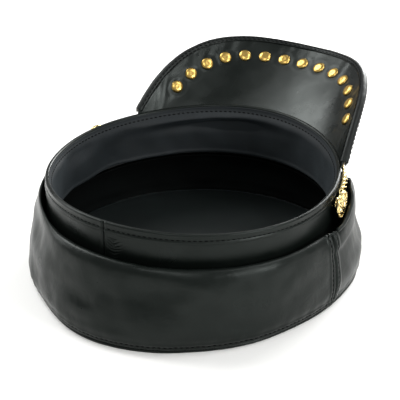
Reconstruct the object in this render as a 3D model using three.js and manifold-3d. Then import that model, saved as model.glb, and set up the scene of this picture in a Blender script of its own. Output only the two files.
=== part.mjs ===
// A leather peaked cap, lying upside down on the outer face of its crown.
//
// Units are millimetres. +Z is up, +Y is the way the visor points, +X is to the
// right seen from behind. The origin is the centre of the crown's flat outer
// face, which rests on the floor. Angles round the cap are measured from the
// front (+Y) towards +X, and an "offset" is a distance out from the outer face
// of the headband.

import * as THREE from 'three';
import { mergeVertices } from 'three/addons/utils/BufferGeometryUtils.js';
import Module from 'manifold-3d';

const wasm = await Module();
wasm.setup();

// ---------------------------------------------------------------- dimensions

const GAP = 0.3; // clearance kept between neighbouring pieces

const RIM_HALF_WIDTH = 92.4;
const RIM_HALF_LENGTH = 98.7;
const RIM_EGG = 0.019; // how much the rim narrows towards the front
const RIM_HEIGHT = 71.6;
const RIM_FRONT_RISE = 0.6;
const RIM_SADDLE = 2.7; // front and back stand higher than the sides
const RIM_LEFT_RISE = 1.7; // the soft band stands a little higher on the left
const RIM_LEFT_ANGLE = -85;
const RIM_LEFT_SPREAD = 28;
const MEAN_RADIUS = 95.5;

const BAND_LEATHER = 1.2;
const BAND_STIFFENER = 0.8;
const SWEATBAND_GAP = 1.4; // room for the button washers
const SWEATBAND_LEATHER = 0.8;
const BAND_SEAM_HEIGHT = 36; // where the crown joins the headband
const SWEATBAND_EDGE_HEIGHT = 38.7;
const RIM_ROLL_DEPTH = 3.2; // the band's turned-over edge inside the rim

const CROWN_LEATHER = 1.2;
const CROWN_BACKWARD_SHIFT = 2.6; // the crown overhangs more at the back
const ROLL_HEIGHT = 55;
// How far the roll's ridge is above that at angles round the cap, in degrees:
// it slumps on the right and stands up sharply beside the button.
const ROLL_SLUMP = [
  [0, -3], [30, -3], [46, -2.5], [55, 4], [64, 8], [72, 4], [80, -1.5], [90, -4], [120, -3.5],
  [150, -2], [180, 0], [210, 2], [237, 3.4], [270, 4], [300, 2], [330, -2],
];
// How far the crown's foot spreads or draws in at angles round the cap.
const CROWN_SPREAD = [
  [0, 2], [30, 3.2], [57, 4.2], [68, 3.6], [80, 1.1], [92, -0.5], [110, -1.7], [126, 0],
  [145, 0.8], [158, 2.6], [178, 3.4], [190, 1.9], [200, -0.6], [212, -2.1], [225, -1.4],
  [240, -0.5], [275, 0], [320, 1],
];
// How far the crown's side bulges or hollows between its foot and the roll.
const CROWN_BELLY = [
  [0, 0], [35, 0.5], [55, 1.8], [68, 2.2], [80, 1.6], [92, 0.3], [105, 0], [205, 0],
  [225, -1], [245, -1.5], [262, -1], [275, -0.4], [290, 0], [330, 0],
];
const TUCK_ANGLE = 231; // where the roll leans in against the band
const TUCK_SPREAD = 26;
const TUCK_OFFSET = 1.1;
const TUCK_SHARE = 0.45;
const POCKET_HALF_ANGLE = 11; // the roll stands off the band behind each button
const POCKET_DEPTH = 6.9;
const FRONT_GROOVE_DEPTH = 3.4; // and less so along the chain
const OUTER_SHARE = 0.47; // how much of that the crown's outer face follows

const LINING_CLOTH = 0.6;
const TIP_THICKNESS = 1.2;
const TIP_EDGE_OFFSET = 10.4;

const VISOR_HALF_ANGLE = 61.2;
const VISOR_RADIUS = 100; // flattening radius of the visor's root
const VISOR_SHIFT = -1.1; // the visor sits a little left of the middle
const VISOR_DEPTH = 59.2;
const VISOR_TILT = 57.3; // from the vertical, at the front
const VISOR_TILT_LOSS = 0.66; // the ends stand steeper, per radian squared
const VISOR_FAN = 0.43;
const VISOR_SHOULDER = 3.35; // powers of the superellipse outline
const VISOR_POINT = 0.913;
const VISOR_END = 0.271; // where the outline starts, as its own angle
const VISOR_ROOT_GAP = 0.6;
const COVER_LEATHER = 0.8;
const VISOR_BOARD = 1.2;
const BINDING_WIDTH = 4.5;
const BINDING_WALL = 0.7;

const RIVET_COUNT = 14;
const RIVET_PITCH = 14.25;
const RIVET_INSET = 16.9; // from the visor's edge to the rivets' centres
const RIVET_ROW_SHIFT = -3.4; // the row sits a little left of the middle
const RIVET_SHANK_RADIUS = 1.5;
const RIVET_HOLE_RADIUS = 1.9;
const RIVET_SIDES = 8;

const BUTTON_ANGLE = 78;
const BUTTON_HEIGHT = 59.8;
const BUTTON_RADIUS = 8.9;
const BUTTON_STANDOFF = 3.8;
const BUTTON_THICKNESS = 4;
const BUTTON_SHANK_RADIUS = 1.7;
const BUTTON_HOLE_RADIUS = 2.2;
const BUTTON_SIDES = 16;

const CHAIN_HALF_WIDTH = 2.7;
const CHAIN_HALF_THICKNESS = 1.2;
const CHAIN_BELOW_RIM = 6;
const CHAIN_OFFSET = 2;
const CHAIN_END_ANGLE = 75;
const RING_RADIUS = 3.3;
const RING_WIRE = 0.8;

const AROUND = 60; // steps in a full turn
const ACROSS_VISOR = 36; // steps from one end of the visor to the other
const BACK_SEAM_ANGLE = 0.12; // half of the slit at the centre-back seam, degrees
const SIDE_SEAM_ANGLE = 0.1;

// Depths of the visor's layers, from the face on the wearer's side outwards.
const UNDER_COVER_DEPTH = [0, COVER_LEATHER];
const BOARD_DEPTH = [COVER_LEATHER + GAP, COVER_LEATHER + GAP + VISOR_BOARD];
const TOP_COVER_DEPTH = [BOARD_DEPTH[1] + GAP, BOARD_DEPTH[1] + GAP + COVER_LEATHER];
const VISOR_THICKNESS = TOP_COVER_DEPTH[1];

// ----------------------------------------------------------------- materials

const finish = (color, roughness, metalness = 0) =>
  new THREE.MeshStandardMaterial({ color, roughness, metalness });

const blackLeather = finish(0x1b1d1d, 0.42);
const bindingLeather = finish(0x222424, 0.45);
const sweatbandCloth = finish(0x14181b, 0.8);
const liningCloth = finish(0x0f1414, 0.7);
const board = finish(0x6d6a62, 0.9);
const stiffener = finish(0xb9b5aa, 0.9);
const brass = finish(0xb98f35, 0.35, 1);
const gold = finish(0xe6c766, 0.25, 1);

// ----------------------------------------------------------- shape functions

const radians = THREE.MathUtils.degToRad;
const degrees = THREE.MathUtils.radToDeg;
const clamp01 = (value) => THREE.MathUtils.clamp(value, 0, 1);
const smooth = (value, low, high) => THREE.MathUtils.smoothstep(value, low, high);

// How far the rim stands above or below its mean height at an angle.
function rimLift(t) {
  const left = Math.exp(-(((degrees(t) - RIM_LEFT_ANGLE) / RIM_LEFT_SPREAD) ** 2));
  return RIM_FRONT_RISE * Math.cos(t) + RIM_SADDLE * Math.cos(2 * t) + RIM_LEFT_RISE * left;
}

// Reads a list of [degrees, value] pairs at an angle, curving smoothly between
// them and closing on itself after a full turn.
function around(pairs, t) {
  const angle = ((degrees(t) % 360) + 360) % 360;
  const at = (i) => {
    const turns = Math.floor(i / pairs.length);
    const [place, value] = pairs[i - turns * pairs.length];
    return { place: place + 360 * turns, value };
  };
  const after = pairs.findIndex(([place]) => place > angle);
  const i = (after < 0 ? pairs.length : after) - 1;
  const [p0, p1, p2, p3] = [at(i - 1), at(i), at(i + 1), at(i + 2)];
  const span = p2.place - p1.place;
  const share = (angle - p1.place) / span;
  const slope1 = ((p2.value - p0.value) / (p2.place - p0.place)) * span;
  const slope2 = ((p3.value - p1.value) / (p3.place - p1.place)) * span;
  const rise = share * share * (3 - 2 * share);
  return p1.value + (p2.value - p1.value) * rise
    + slope1 * share * (1 - share) ** 2 - slope2 * share * share * (1 - share);
}

// A point on the oval at an angle, an offset and a height.
function ovalPoint(t, offset, z) {
  const scale = 1 + offset / MEAN_RADIUS;
  return new THREE.Vector3(
    RIM_HALF_WIDTH * scale * Math.sin(t) * (1 - RIM_EGG * Math.cos(t)),
    RIM_HALF_LENGTH * scale * Math.cos(t),
    z,
  );
}

// Headband, stiffener and sweatband: the height follows the rim.
function bandPoint(t, offset, z) {
  const share = clamp01((z - BAND_SEAM_HEIGHT) / (RIM_HEIGHT - BAND_SEAM_HEIGHT));
  return ovalPoint(t, offset, z + rimLift(t) * share);
}

// How far the roll stands off the band at an angle: a pocket behind each button
// and a shallower groove along the chain.
function standOff(t) {
  const away = Math.abs(Math.abs(t) - radians(BUTTON_ANGLE)) / radians(POCKET_HALF_ANGLE);
  const pocket = POCKET_DEPTH * Math.exp(-0.5 * away ** 4);
  const groove = FRONT_GROOVE_DEPTH * smooth(Math.cos(t), 0.1, 0.3);
  return Math.max(pocket, groove);
}

// How much of the roll leans in against the band at an angle and a height.
function tuck(t, z) {
  const away = ((((degrees(t) % 360) + 360) % 360) - TUCK_ANGLE) / TUCK_SPREAD;
  return Math.exp(-(away ** 4)) * smooth(z, 30, 52);
}

// Crown leather: it overhangs the back, and its roll varies round the cap.
function crownPoint(t, offset, z) {
  const aboveSeam = smooth(z, BAND_SEAM_HEIGHT, ROLL_HEIGHT - 10);
  const share = THREE.MathUtils.lerp(1, OUTER_SHARE, smooth(offset, 3.5, 7));
  const tucked = TUCK_OFFSET + (offset - 1.5) * TUCK_SHARE;
  const belly = smooth(z, 8, 26) * (1 - smooth(z, 30, 44)) * smooth(offset, 2, 9);
  const pushed = THREE.MathUtils.lerp(offset, tucked, tuck(t, z)) + around(CROWN_BELLY, t) * belly
    + standOff(t) * aboveSeam * share + around(CROWN_SPREAD, t) * (1 - smooth(z, 14, 38));
  const lift = around(ROLL_SLUMP, t) * smooth(z, BAND_SEAM_HEIGHT, ROLL_HEIGHT);
  const point = ovalPoint(t, pushed, z + lift);
  point.y -= CROWN_BACKWARD_SHIFT * clamp01(offset / TIP_EDGE_OFFSET);
  return point;
}

// A flat disc of the crown, whose edge follows the crown's foot.
function discPoint(t, radius, z) {
  const edgeShare = clamp01(radius / (MEAN_RADIUS + TIP_EDGE_OFFSET)) ** 2;
  const scale = (radius + around(CROWN_SPREAD, t) * edgeShare) / MEAN_RADIUS;
  return new THREE.Vector3(
    RIM_HALF_WIDTH * scale * Math.sin(t),
    RIM_HALF_LENGTH * scale * Math.cos(t) - CROWN_BACKWARD_SHIFT * clamp01(radius / MEAN_RADIUS),
    z,
  );
}

// The visor's face on the wearer's side. "along" is measured round the root and
// "out" is measured from the root towards the visor's edge.
function visorFace(along, out) {
  const t = along / VISOR_RADIUS;
  const tilt = radians(VISOR_TILT) - VISOR_TILT_LOSS * t * t;
  const turn = VISOR_FAN * t;
  const direction = new THREE.Vector3(
    Math.sin(tilt) * Math.sin(turn),
    Math.sin(tilt) * Math.cos(turn),
    Math.cos(tilt),
  );
  return ovalPoint(t, 0, RIM_HEIGHT + rimLift(t)).addScaledVector(direction, out);
}

// The normal of that face, pointing towards the wearer.
function visorNormal(along, out) {
  const step = 0.05;
  const across = visorFace(along + step, out).sub(visorFace(along - step, out));
  const outward = visorFace(along, out + step).sub(visorFace(along, out - step));
  return across.cross(outward).normalize();
}

function visorPoint(along, out, depth) {
  return visorFace(along, out).addScaledVector(visorNormal(along, out), -depth);
}

// The visor's outline laid flat, moved in from the edge by an inset. "turn"
// runs from 0 at the right end to PI at the left end.
function visorOutline(turn, inset) {
  const bare = (angle) => {
    const c = Math.cos(angle);
    return new THREE.Vector2(
      radians(VISOR_HALF_ANGLE) * VISOR_RADIUS * Math.sign(c) * Math.abs(c) ** (2 / VISOR_SHOULDER)
        + VISOR_SHIFT,
      VISOR_DEPTH * Math.sin(angle) ** (2 / VISOR_POINT),
    );
  };
  const step = 0.01;
  const tangent = bare(turn + step).sub(bare(turn - step)).normalize();
  return bare(turn).addScaledVector(new THREE.Vector2(-tangent.y, tangent.x), inset);
}

// Turns a share of the visor's width, from 0 to 1, into an outline angle, so
// that even shares give nearly even steps and finer ones at the shoulders.
function outlineTurn(share) {
  const end = Math.asin(Math.cos(VISOR_END) ** (2 / VISOR_SHOULDER));
  const across = Math.sin(end * (1 - 2 * share));
  return Math.acos(Math.sign(across) * Math.abs(across) ** (VISOR_SHOULDER / 2));
}

// ---------------------------------------------------------- geometry helpers

// Merges shared vertices, drops triangles of no area and makes faces point out.
function closed(geometry) {
  const bare = geometry.clone();
  for (const name of Object.keys(bare.attributes)) {
    if (name !== 'position') bare.deleteAttribute(name);
  }
  const merged = mergeVertices(bare, 1e-4);
  const position = merged.attributes.position;
  const index = [];
  const corners = [0, 1, 2].map(() => new THREE.Vector3());
  let volume = 0;
  for (let i = 0; i < merged.index.count; i += 3) {
    const ids = [0, 1, 2].map((k) => merged.index.getX(i + k));
    if (new Set(ids).size < 3) continue;
    index.push(...ids);
    ids.forEach((id, k) => corners[k].fromBufferAttribute(position, id));
    volume += corners[0].dot(corners[1].clone().cross(corners[2]));
  }
  if (volume < 0) index.reverse();
  merged.setIndex(index);
  return merged;
}

// Moves every vertex of a geometry by a function of its three coordinates.
function bend(geometry, place) {
  const position = geometry.attributes.position;
  for (let i = 0; i < position.count; i += 1) {
    const point = place(position.getX(i), position.getY(i), position.getZ(i));
    position.setXYZ(i, point.x, point.y, point.z);
  }
  return geometry;
}

const points2 = (pairs) => pairs.map(([x, y]) => new THREE.Vector2(x, y));

// A closed outline made of a line and its copy moved sideways by a thickness,
// which lies to the left of the line's direction.
function sheetOutline(pairs, thickness) {
  const line = points2(pairs);
  const back = line.map((point, i) => {
    const before = line[Math.max(i - 1, 0)];
    const after = line[Math.min(i + 1, line.length - 1)];
    const along = after.clone().sub(before).normalize();
    return point.clone().addScaledVector(new THREE.Vector2(-along.y, along.x), thickness);
  });
  return [...line, ...back.reverse()];
}

// A strip of a section (offset, height) that runs round the cap between two
// angles in degrees.
function strip(outline, from, to, place) {
  const steps = Math.round((AROUND * (to - from)) / 360);
  const blank = new THREE.ExtrudeGeometry(
    new THREE.Shape(outline), { depth: 1, steps, bevelEnabled: false });
  const start = radians(from);
  const span = radians(to - from);
  return closed(bend(blank, (offset, z, share) => place(start + span * share, offset, z)));
}

// A disc from a half profile (radius, height) that starts and ends on the axis.
function disc(pairs) {
  const turned = new THREE.LatheGeometry(points2(pairs), AROUND);
  return closed(bend(turned, (x, z, y) => discPoint(Math.atan2(x, y), Math.hypot(x, y), z)));
}

// A round piece about its own +Y axis.
const round = (pairs, sides) => closed(new THREE.LatheGeometry(points2(pairs), sides));

function toSolid(geometry) {
  return new wasm.Manifold(new wasm.Mesh({
    numProp: 3,
    vertProperties: new Float32Array(geometry.attributes.position.array),
    triVerts: new Uint32Array(geometry.index.array),
  }));
}

function fromSolid(solid) {
  const mesh = solid.getMesh();
  const geometry = new THREE.BufferGeometry();
  geometry.setAttribute('position', new THREE.BufferAttribute(mesh.vertProperties, 3));
  geometry.setIndex(new THREE.BufferAttribute(mesh.triVerts, 1));
  return geometry;
}

// Cuts a list of closed tools out of a closed geometry.
function cut(geometry, tools) {
  let solid = toSolid(geometry);
  for (const tool of tools) solid = solid.subtract(toSolid(tool));
  return fromSolid(solid);
}

// --------------------------------------------------------------------- group

const cap = new THREE.Group();

function add(name, geometry, material) {
  const mesh = new THREE.Mesh(geometry, material);
  mesh.name = name;
  cap.add(mesh);
  return mesh;
}

// Places a piece whose own +Y axis is to lie along a direction.
function stand(mesh, point, direction) {
  mesh.position.copy(point);
  mesh.quaternion.setFromUnitVectors(new THREE.Vector3(0, 1, 0), direction);
}

// --------------------------------------------------------------------- crown

// Outer face of the side panels, from the seam with the tip, over the roll and
// down the inside of the groove to the headband.
const crownLine = [
  [9.6, 1.9], [11.6, 5], [12.9, 12], [12.4, 22], [11, 33], [9, 46], [7.6, 52.2],
  [5.9, 54.8], [4.1, 54.4], [2.7, 51], [1.8, 44], [1.5, 36.4],
];
const crownSection = sheetOutline(crownLine, CROWN_LEATHER);

add('crown_front_panel',
  strip(crownSection, -90 + SIDE_SEAM_ANGLE, 90 - SIDE_SEAM_ANGLE, crownPoint), blackLeather);
add('crown_back_panel',
  strip(crownSection, 90 + SIDE_SEAM_ANGLE, 270 - SIDE_SEAM_ANGLE, crownPoint), blackLeather);

const tipEdge = MEAN_RADIUS + TIP_EDGE_OFFSET;
add('crown_tip', disc([
  [0, 0], [tipEdge - 2.5, 0], [tipEdge, 0.8], [tipEdge, 1.5], [tipEdge - 2.5, TIP_THICKNESS],
  [0, TIP_THICKNESS],
]), blackLeather);

const interliningBottom = TIP_THICKNESS + GAP;
const interliningTop = interliningBottom + 0.9;
const interliningRadius = MEAN_RADIUS + 6.8;
add('tip_interlining', disc([
  [0, interliningBottom], [interliningRadius, interliningBottom],
  [interliningRadius, interliningTop], [0, interliningTop],
]), stiffener);

// -------------------------------------------------------------------- lining

const liningFloor = interliningTop + GAP;
const liningRadius = MEAN_RADIUS + 7;
add('lining_tip', disc([
  [0, liningFloor], [liningRadius, liningFloor],
  [liningRadius, liningFloor + LINING_CLOTH], [0, liningFloor + LINING_CLOTH],
]), liningCloth);

const liningLine = [
  [8.4, 3.7], [10, 9], [10.2, 16], [8.4, 25], [4, 31.5], [-1.9, 35.2],
];
add('lining_side', strip(sheetOutline(liningLine, LINING_CLOTH),
  -180 + BACK_SEAM_ANGLE, 180 - BACK_SEAM_ANGLE, crownPoint), liningCloth);

// ------------------------------------------------------------------ headband

const stiffenerFace = -(BAND_LEATHER + GAP);
const sweatbandFace = stiffenerFace - BAND_STIFFENER - SWEATBAND_GAP;
const innerFace = sweatbandFace - SWEATBAND_LEATHER;
const bandTop = RIM_HEIGHT;

function buttonHoles(radius) {
  return [-1, 1].map((side) => {
    const hole = new THREE.CylinderGeometry(radius, radius, 12, 12);
    const { point, normal } = buttonSeat(side);
    hole.applyQuaternion(
      new THREE.Quaternion().setFromUnitVectors(new THREE.Vector3(0, 1, 0), normal));
    hole.translate(point.x, point.y, point.z);
    return closed(hole);
  });
}

// Where a button's axis meets the outer face of the band.
function buttonSeat(side) {
  const t = side * radians(BUTTON_ANGLE);
  const point = ovalPoint(t, 0, BUTTON_HEIGHT);
  const normal = new THREE.Vector3(
    Math.sin(t) / RIM_HALF_WIDTH, Math.cos(t) / RIM_HALF_LENGTH, 0).normalize();
  return { point, normal };
}

const bandSection = points2([
  [0, BAND_SEAM_HEIGHT], [0, bandTop - 1.2], [-0.35, bandTop - 0.35], [-1.2, bandTop],
  [innerFace + 1.2, bandTop], [innerFace + 0.35, bandTop - 0.35], [innerFace, bandTop - 1.2],
  [innerFace, bandTop - RIM_ROLL_DEPTH], [innerFace + 0.9, bandTop - RIM_ROLL_DEPTH],
  [innerFace + 0.9, bandTop - BAND_LEATHER], [-BAND_LEATHER, bandTop - BAND_LEATHER],
  [-BAND_LEATHER, BAND_SEAM_HEIGHT],
]);
const stiffenerTop = bandTop - BAND_LEATHER - GAP;
const stiffenerBottom = BAND_SEAM_HEIGHT + 1;
const stiffenerSection = points2([
  [stiffenerFace, stiffenerBottom], [stiffenerFace, stiffenerTop],
  [stiffenerFace - BAND_STIFFENER, stiffenerTop], [stiffenerFace - BAND_STIFFENER, stiffenerBottom],
]);
const sweatbandTop = bandTop - RIM_ROLL_DEPTH - GAP;
const sweatbandSection = points2([
  [sweatbandFace, SWEATBAND_EDGE_HEIGHT], [sweatbandFace, sweatbandTop],
  [innerFace, sweatbandTop], [innerFace, SWEATBAND_EDGE_HEIGHT],
]);
const bandStrip = (section) =>
  strip(section, -180 + BACK_SEAM_ANGLE, 180 - BACK_SEAM_ANGLE, bandPoint);

add('headband', cut(bandStrip(bandSection), buttonHoles(BUTTON_HOLE_RADIUS)), blackLeather);
add('headband_stiffener',
  cut(bandStrip(stiffenerSection), buttonHoles(BUTTON_HOLE_RADIUS)), stiffener);
add('sweatband', bandStrip(sweatbandSection), sweatbandCloth);

// --------------------------------------------------------------------- visor

// Finds the places of the rivets by walking out from the middle of their row.
function rivetPlaces() {
  const places = [];
  for (const side of [-1, 1]) {
    const found = [];
    let turn = Math.PI / 2;
    let walked = -side * RIVET_ROW_SHIFT;
    let last = null;
    while (found.length < RIVET_COUNT / 2) {
      const place = visorOutline(turn, RIVET_INSET);
      const point = visorFace(place.x, place.y);
      if (last) walked += point.distanceTo(last);
      last = point;
      if (walked >= RIVET_PITCH * (found.length + 0.5)) found.push(place);
      turn -= side * 0.001;
    }
    places.push(...(side < 0 ? found.reverse() : found));
  }
  return places;
}

const rivets = rivetPlaces();

const rivetHoles = rivets.map(({ x: along, y: out }) => {
  const hole = new THREE.CylinderGeometry(RIVET_HOLE_RADIUS, RIVET_HOLE_RADIUS, 14, RIVET_SIDES);
  const point = visorFace(along, out);
  hole.applyQuaternion(new THREE.Quaternion().setFromUnitVectors(
    new THREE.Vector3(0, 1, 0), visorNormal(along, out)));
  hole.translate(point.x, point.y, point.z);
  return closed(hole);
});

// One layer of the visor between two depths, trimmed in from the edge.
function visorLayer([near, far], inset) {
  const blank = new THREE.BoxGeometry(1, 1, 1, ACROSS_VISOR, 4, 1);
  const layer = bend(blank, (x, y, z) => {
    const edge = visorOutline(outlineTurn(0.5 - x), inset);
    const top = Math.max(edge.y, VISOR_ROOT_GAP + 1.5);
    const out = THREE.MathUtils.lerp(VISOR_ROOT_GAP, top, y + 0.5);
    return visorPoint(edge.x, out, THREE.MathUtils.lerp(near, far, z + 0.5));
  });
  return cut(closed(layer), rivetHoles);
}

const coverInset = BINDING_WALL + GAP;
add('visor_under_cover', visorLayer(UNDER_COVER_DEPTH, coverInset), blackLeather);
add('visor_board', visorLayer(BOARD_DEPTH, coverInset + 0.4), board);
add('visor_top_cover', visorLayer(TOP_COVER_DEPTH, coverInset), blackLeather);

// A folded tape round the visor's edge: inset from the edge, and depth.
const tapeNear = -GAP - BINDING_WALL;
const tapeFar = VISOR_THICKNESS + GAP + BINDING_WALL;
const tapeSection = points2([
  [BINDING_WIDTH, tapeNear], [0.9, tapeNear], [0, tapeNear + 0.9],
  [0, tapeFar - 0.9], [0.9, tapeFar], [BINDING_WIDTH, tapeFar],
  [BINDING_WIDTH, tapeFar - BINDING_WALL], [BINDING_WALL, tapeFar - BINDING_WALL],
  [BINDING_WALL, tapeNear + BINDING_WALL], [BINDING_WIDTH, tapeNear + BINDING_WALL],
]);
const tape = new THREE.ExtrudeGeometry(
  new THREE.Shape(tapeSection), { depth: 1, steps: ACROSS_VISOR, bevelEnabled: false });
add('visor_edge_binding', closed(bend(tape, (inset, depth, share) => {
  const place = visorOutline(outlineTurn(share), inset);
  return visorPoint(place.x, Math.max(place.y, VISOR_ROOT_GAP), depth);
})), bindingLeather);

// -------------------------------------------------------------------- rivets

// The flat cap with a dimple is on the wearer's side, the dome on the other.
const rivetFar = -(VISOR_THICKNESS + GAP);
const rivetProfile = [
  [0, 1.3], [2.6, 1.6], [4.1, 1.0], [4.3, GAP], [RIVET_SHANK_RADIUS, GAP],
  [RIVET_SHANK_RADIUS, rivetFar], [4.5, rivetFar], [3.9, rivetFar - 1.4], [0, rivetFar - 2.4],
];
rivets.forEach(({ x: along, y: out }, i) => {
  const name = `visor_rivet_${String(i + 1).padStart(2, '0')}`;
  const rivet = add(name, round(rivetProfile, RIVET_SIDES), brass);
  stand(rivet, visorFace(along, out), visorNormal(along, out));
});

// --------------------------------------------------- side buttons and washers

const headBack = BUTTON_STANDOFF;
const headFront = BUTTON_STANDOFF + BUTTON_THICKNESS;
const shankEnd = sweatbandFace + GAP;
const buttonProfile = [
  [0, shankEnd], [BUTTON_SHANK_RADIUS, shankEnd], [BUTTON_SHANK_RADIUS, headBack],
  [7.9, headBack], [BUTTON_RADIUS, headBack + 0.8], [BUTTON_RADIUS, headBack + 1.6],
  [6.4, headFront - 0.8], [3, headFront - 0.3], [0, headFront],
];
const washerNear = stiffenerFace - BAND_STIFFENER - GAP;
const washerFar = washerNear - 0.5;
const washerProfile = [
  [BUTTON_HOLE_RADIUS, washerFar], [4.6, washerFar], [4.6, washerNear],
  [BUTTON_HOLE_RADIUS, washerNear], [BUTTON_HOLE_RADIUS, washerFar],
];

for (const [name, side] of [['left', -1], ['right', 1]]) {
  const { point, normal } = buttonSeat(side);
  stand(add(`side_button_${name}`, round(buttonProfile, BUTTON_SIDES), gold), point, normal);
  stand(add(`button_washer_${name}`, round(washerProfile, 12), brass), point, normal);
}

// --------------------------------------------------------------------- chain

// The rings hang on the button shanks. The chain leaves each ring upwards and
// then runs round the front of the band, under the visor's root.
const ringOffset = BUTTON_STANDOFF / 2;
for (const [name, side] of [['left', -1], ['right', 1]]) {
  const { point, normal } = buttonSeat(side);
  const ring = new THREE.TorusGeometry(RING_RADIUS, RING_WIRE, 8, 14);
  ring.rotateX(Math.PI / 2);
  stand(add(`chain_ring_${name}`, closed(ring), gold),
    point.addScaledVector(normal, ringOffset), normal);
}

// The chain lies flat against the band: its section is wider than it is thick.
function chainPoint(t, offset, z) {
  return ovalPoint(t, CHAIN_OFFSET + offset, RIM_HEIGHT + rimLift(t) - CHAIN_BELOW_RIM + z);
}
const chainSection = new THREE.Shape();
chainSection.absellipse(0, 0, CHAIN_HALF_THICKNESS, CHAIN_HALF_WIDTH, 0, 2 * Math.PI);
add('chain',
  strip(chainSection.getPoints(2).slice(1), -CHAIN_END_ANGLE, CHAIN_END_ANGLE, chainPoint), gold);

export default cap;
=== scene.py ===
# A black leather peaked cap, lying upside down on the outer face of its crown.
#
# Shapes are worked out in millimetres, in the part's own frame: +Z up out of the
# opening, +Y towards the visor, +X to the right seen from behind. Angles round
# the cap run from the front (+Y) towards +X, and an offset is a distance out
# from the outer face of the headband. Everything becomes metres in build_mesh.

import logging
import math
from dataclasses import dataclass, replace
from enum import Enum
from typing import ClassVar

import bmesh
import bpy
import numpy as np
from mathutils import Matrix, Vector, noise


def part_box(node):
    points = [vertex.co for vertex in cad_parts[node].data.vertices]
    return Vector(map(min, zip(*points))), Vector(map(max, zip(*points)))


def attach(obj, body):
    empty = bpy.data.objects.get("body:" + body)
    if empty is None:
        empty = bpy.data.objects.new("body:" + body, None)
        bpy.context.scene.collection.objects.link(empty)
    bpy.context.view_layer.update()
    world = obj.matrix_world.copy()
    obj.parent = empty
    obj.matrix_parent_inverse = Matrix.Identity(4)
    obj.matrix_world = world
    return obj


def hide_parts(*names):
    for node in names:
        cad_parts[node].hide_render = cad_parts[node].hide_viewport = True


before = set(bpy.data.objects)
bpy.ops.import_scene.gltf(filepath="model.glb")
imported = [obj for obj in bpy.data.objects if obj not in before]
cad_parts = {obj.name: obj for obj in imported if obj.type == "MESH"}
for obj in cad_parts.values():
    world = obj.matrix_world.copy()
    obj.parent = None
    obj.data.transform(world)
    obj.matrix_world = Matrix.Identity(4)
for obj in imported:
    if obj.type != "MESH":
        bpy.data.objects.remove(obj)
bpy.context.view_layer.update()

Array = np.ndarray
Values = Array | float
Pairs = list[tuple[float, float]]
Mesh = tuple[Array, Array]  # points in millimetres, and the corners of each face
Node = bpy.types.Node
Socket = bpy.types.NodeSocket
Material = bpy.types.Material
Object = bpy.types.Object

MM = 0.001
TINY = 1e-9
BACK = math.pi
RIGHT_SEAM = math.radians(90.0)
LEFT_SEAM = math.radians(270.0)
UP = np.array([0.0, 0.0, 1.0])
LEATHER_SLOT = "black_leather"

log = logging.getLogger("peaked_cap")


# ------------------------------------------------------------------ finishes


def linear(code: str) -> tuple[float, float, float, float]:
    """Turns an sRGB hex colour into linear red, green, blue and alpha.

    Args:
        code: Six hex digits, with or without a leading #.

    Returns:
        Four numbers from 0 to 1, with alpha 1.
    """
    digits = code.lstrip("#")
    channels = [int(digits[i:i + 2], 16) / 255 for i in (0, 2, 4)]
    low_slope, low_limit, shift, power = 12.92, 0.04045, 0.055, 2.4
    red, green, blue = (
        c / low_slope if c <= low_limit else ((c + shift) / (1 + shift)) ** power
        for c in channels
    )
    return red, green, blue, 1.0


def add_node(
    material: Material,
    kind: str,
    settings: dict[str, object] | None = None,
    links: dict[str | int, Socket] | None = None,
) -> Node:
    """Adds a shader node with its settings and its incoming links.

    Args:
        material: The material that the node goes into.
        kind: The node's type, such as "Bump".
        settings: Node properties, or default values of input sockets, by name.
        links: The output socket to join to each input, by name or place.

    Returns:
        The new node.
    """
    node = material.node_tree.nodes.new("ShaderNode" + kind)
    for name, value in (settings or {}).items():
        if name in node.inputs:
            node.inputs[name].default_value = value
        else:
            setattr(node, name, value)
    for name, source in (links or {}).items():
        material.node_tree.links.new(source, node.inputs[name])
    return node


def new_material(name: str) -> tuple[Material, Node]:
    """Makes an empty node material.

    Args:
        name: The material's name.

    Returns:
        The material and its output node.
    """
    material = bpy.data.materials.new(name)
    material.use_nodes = True
    material.node_tree.nodes.clear()
    return material, add_node(material, "OutputMaterial")


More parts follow.
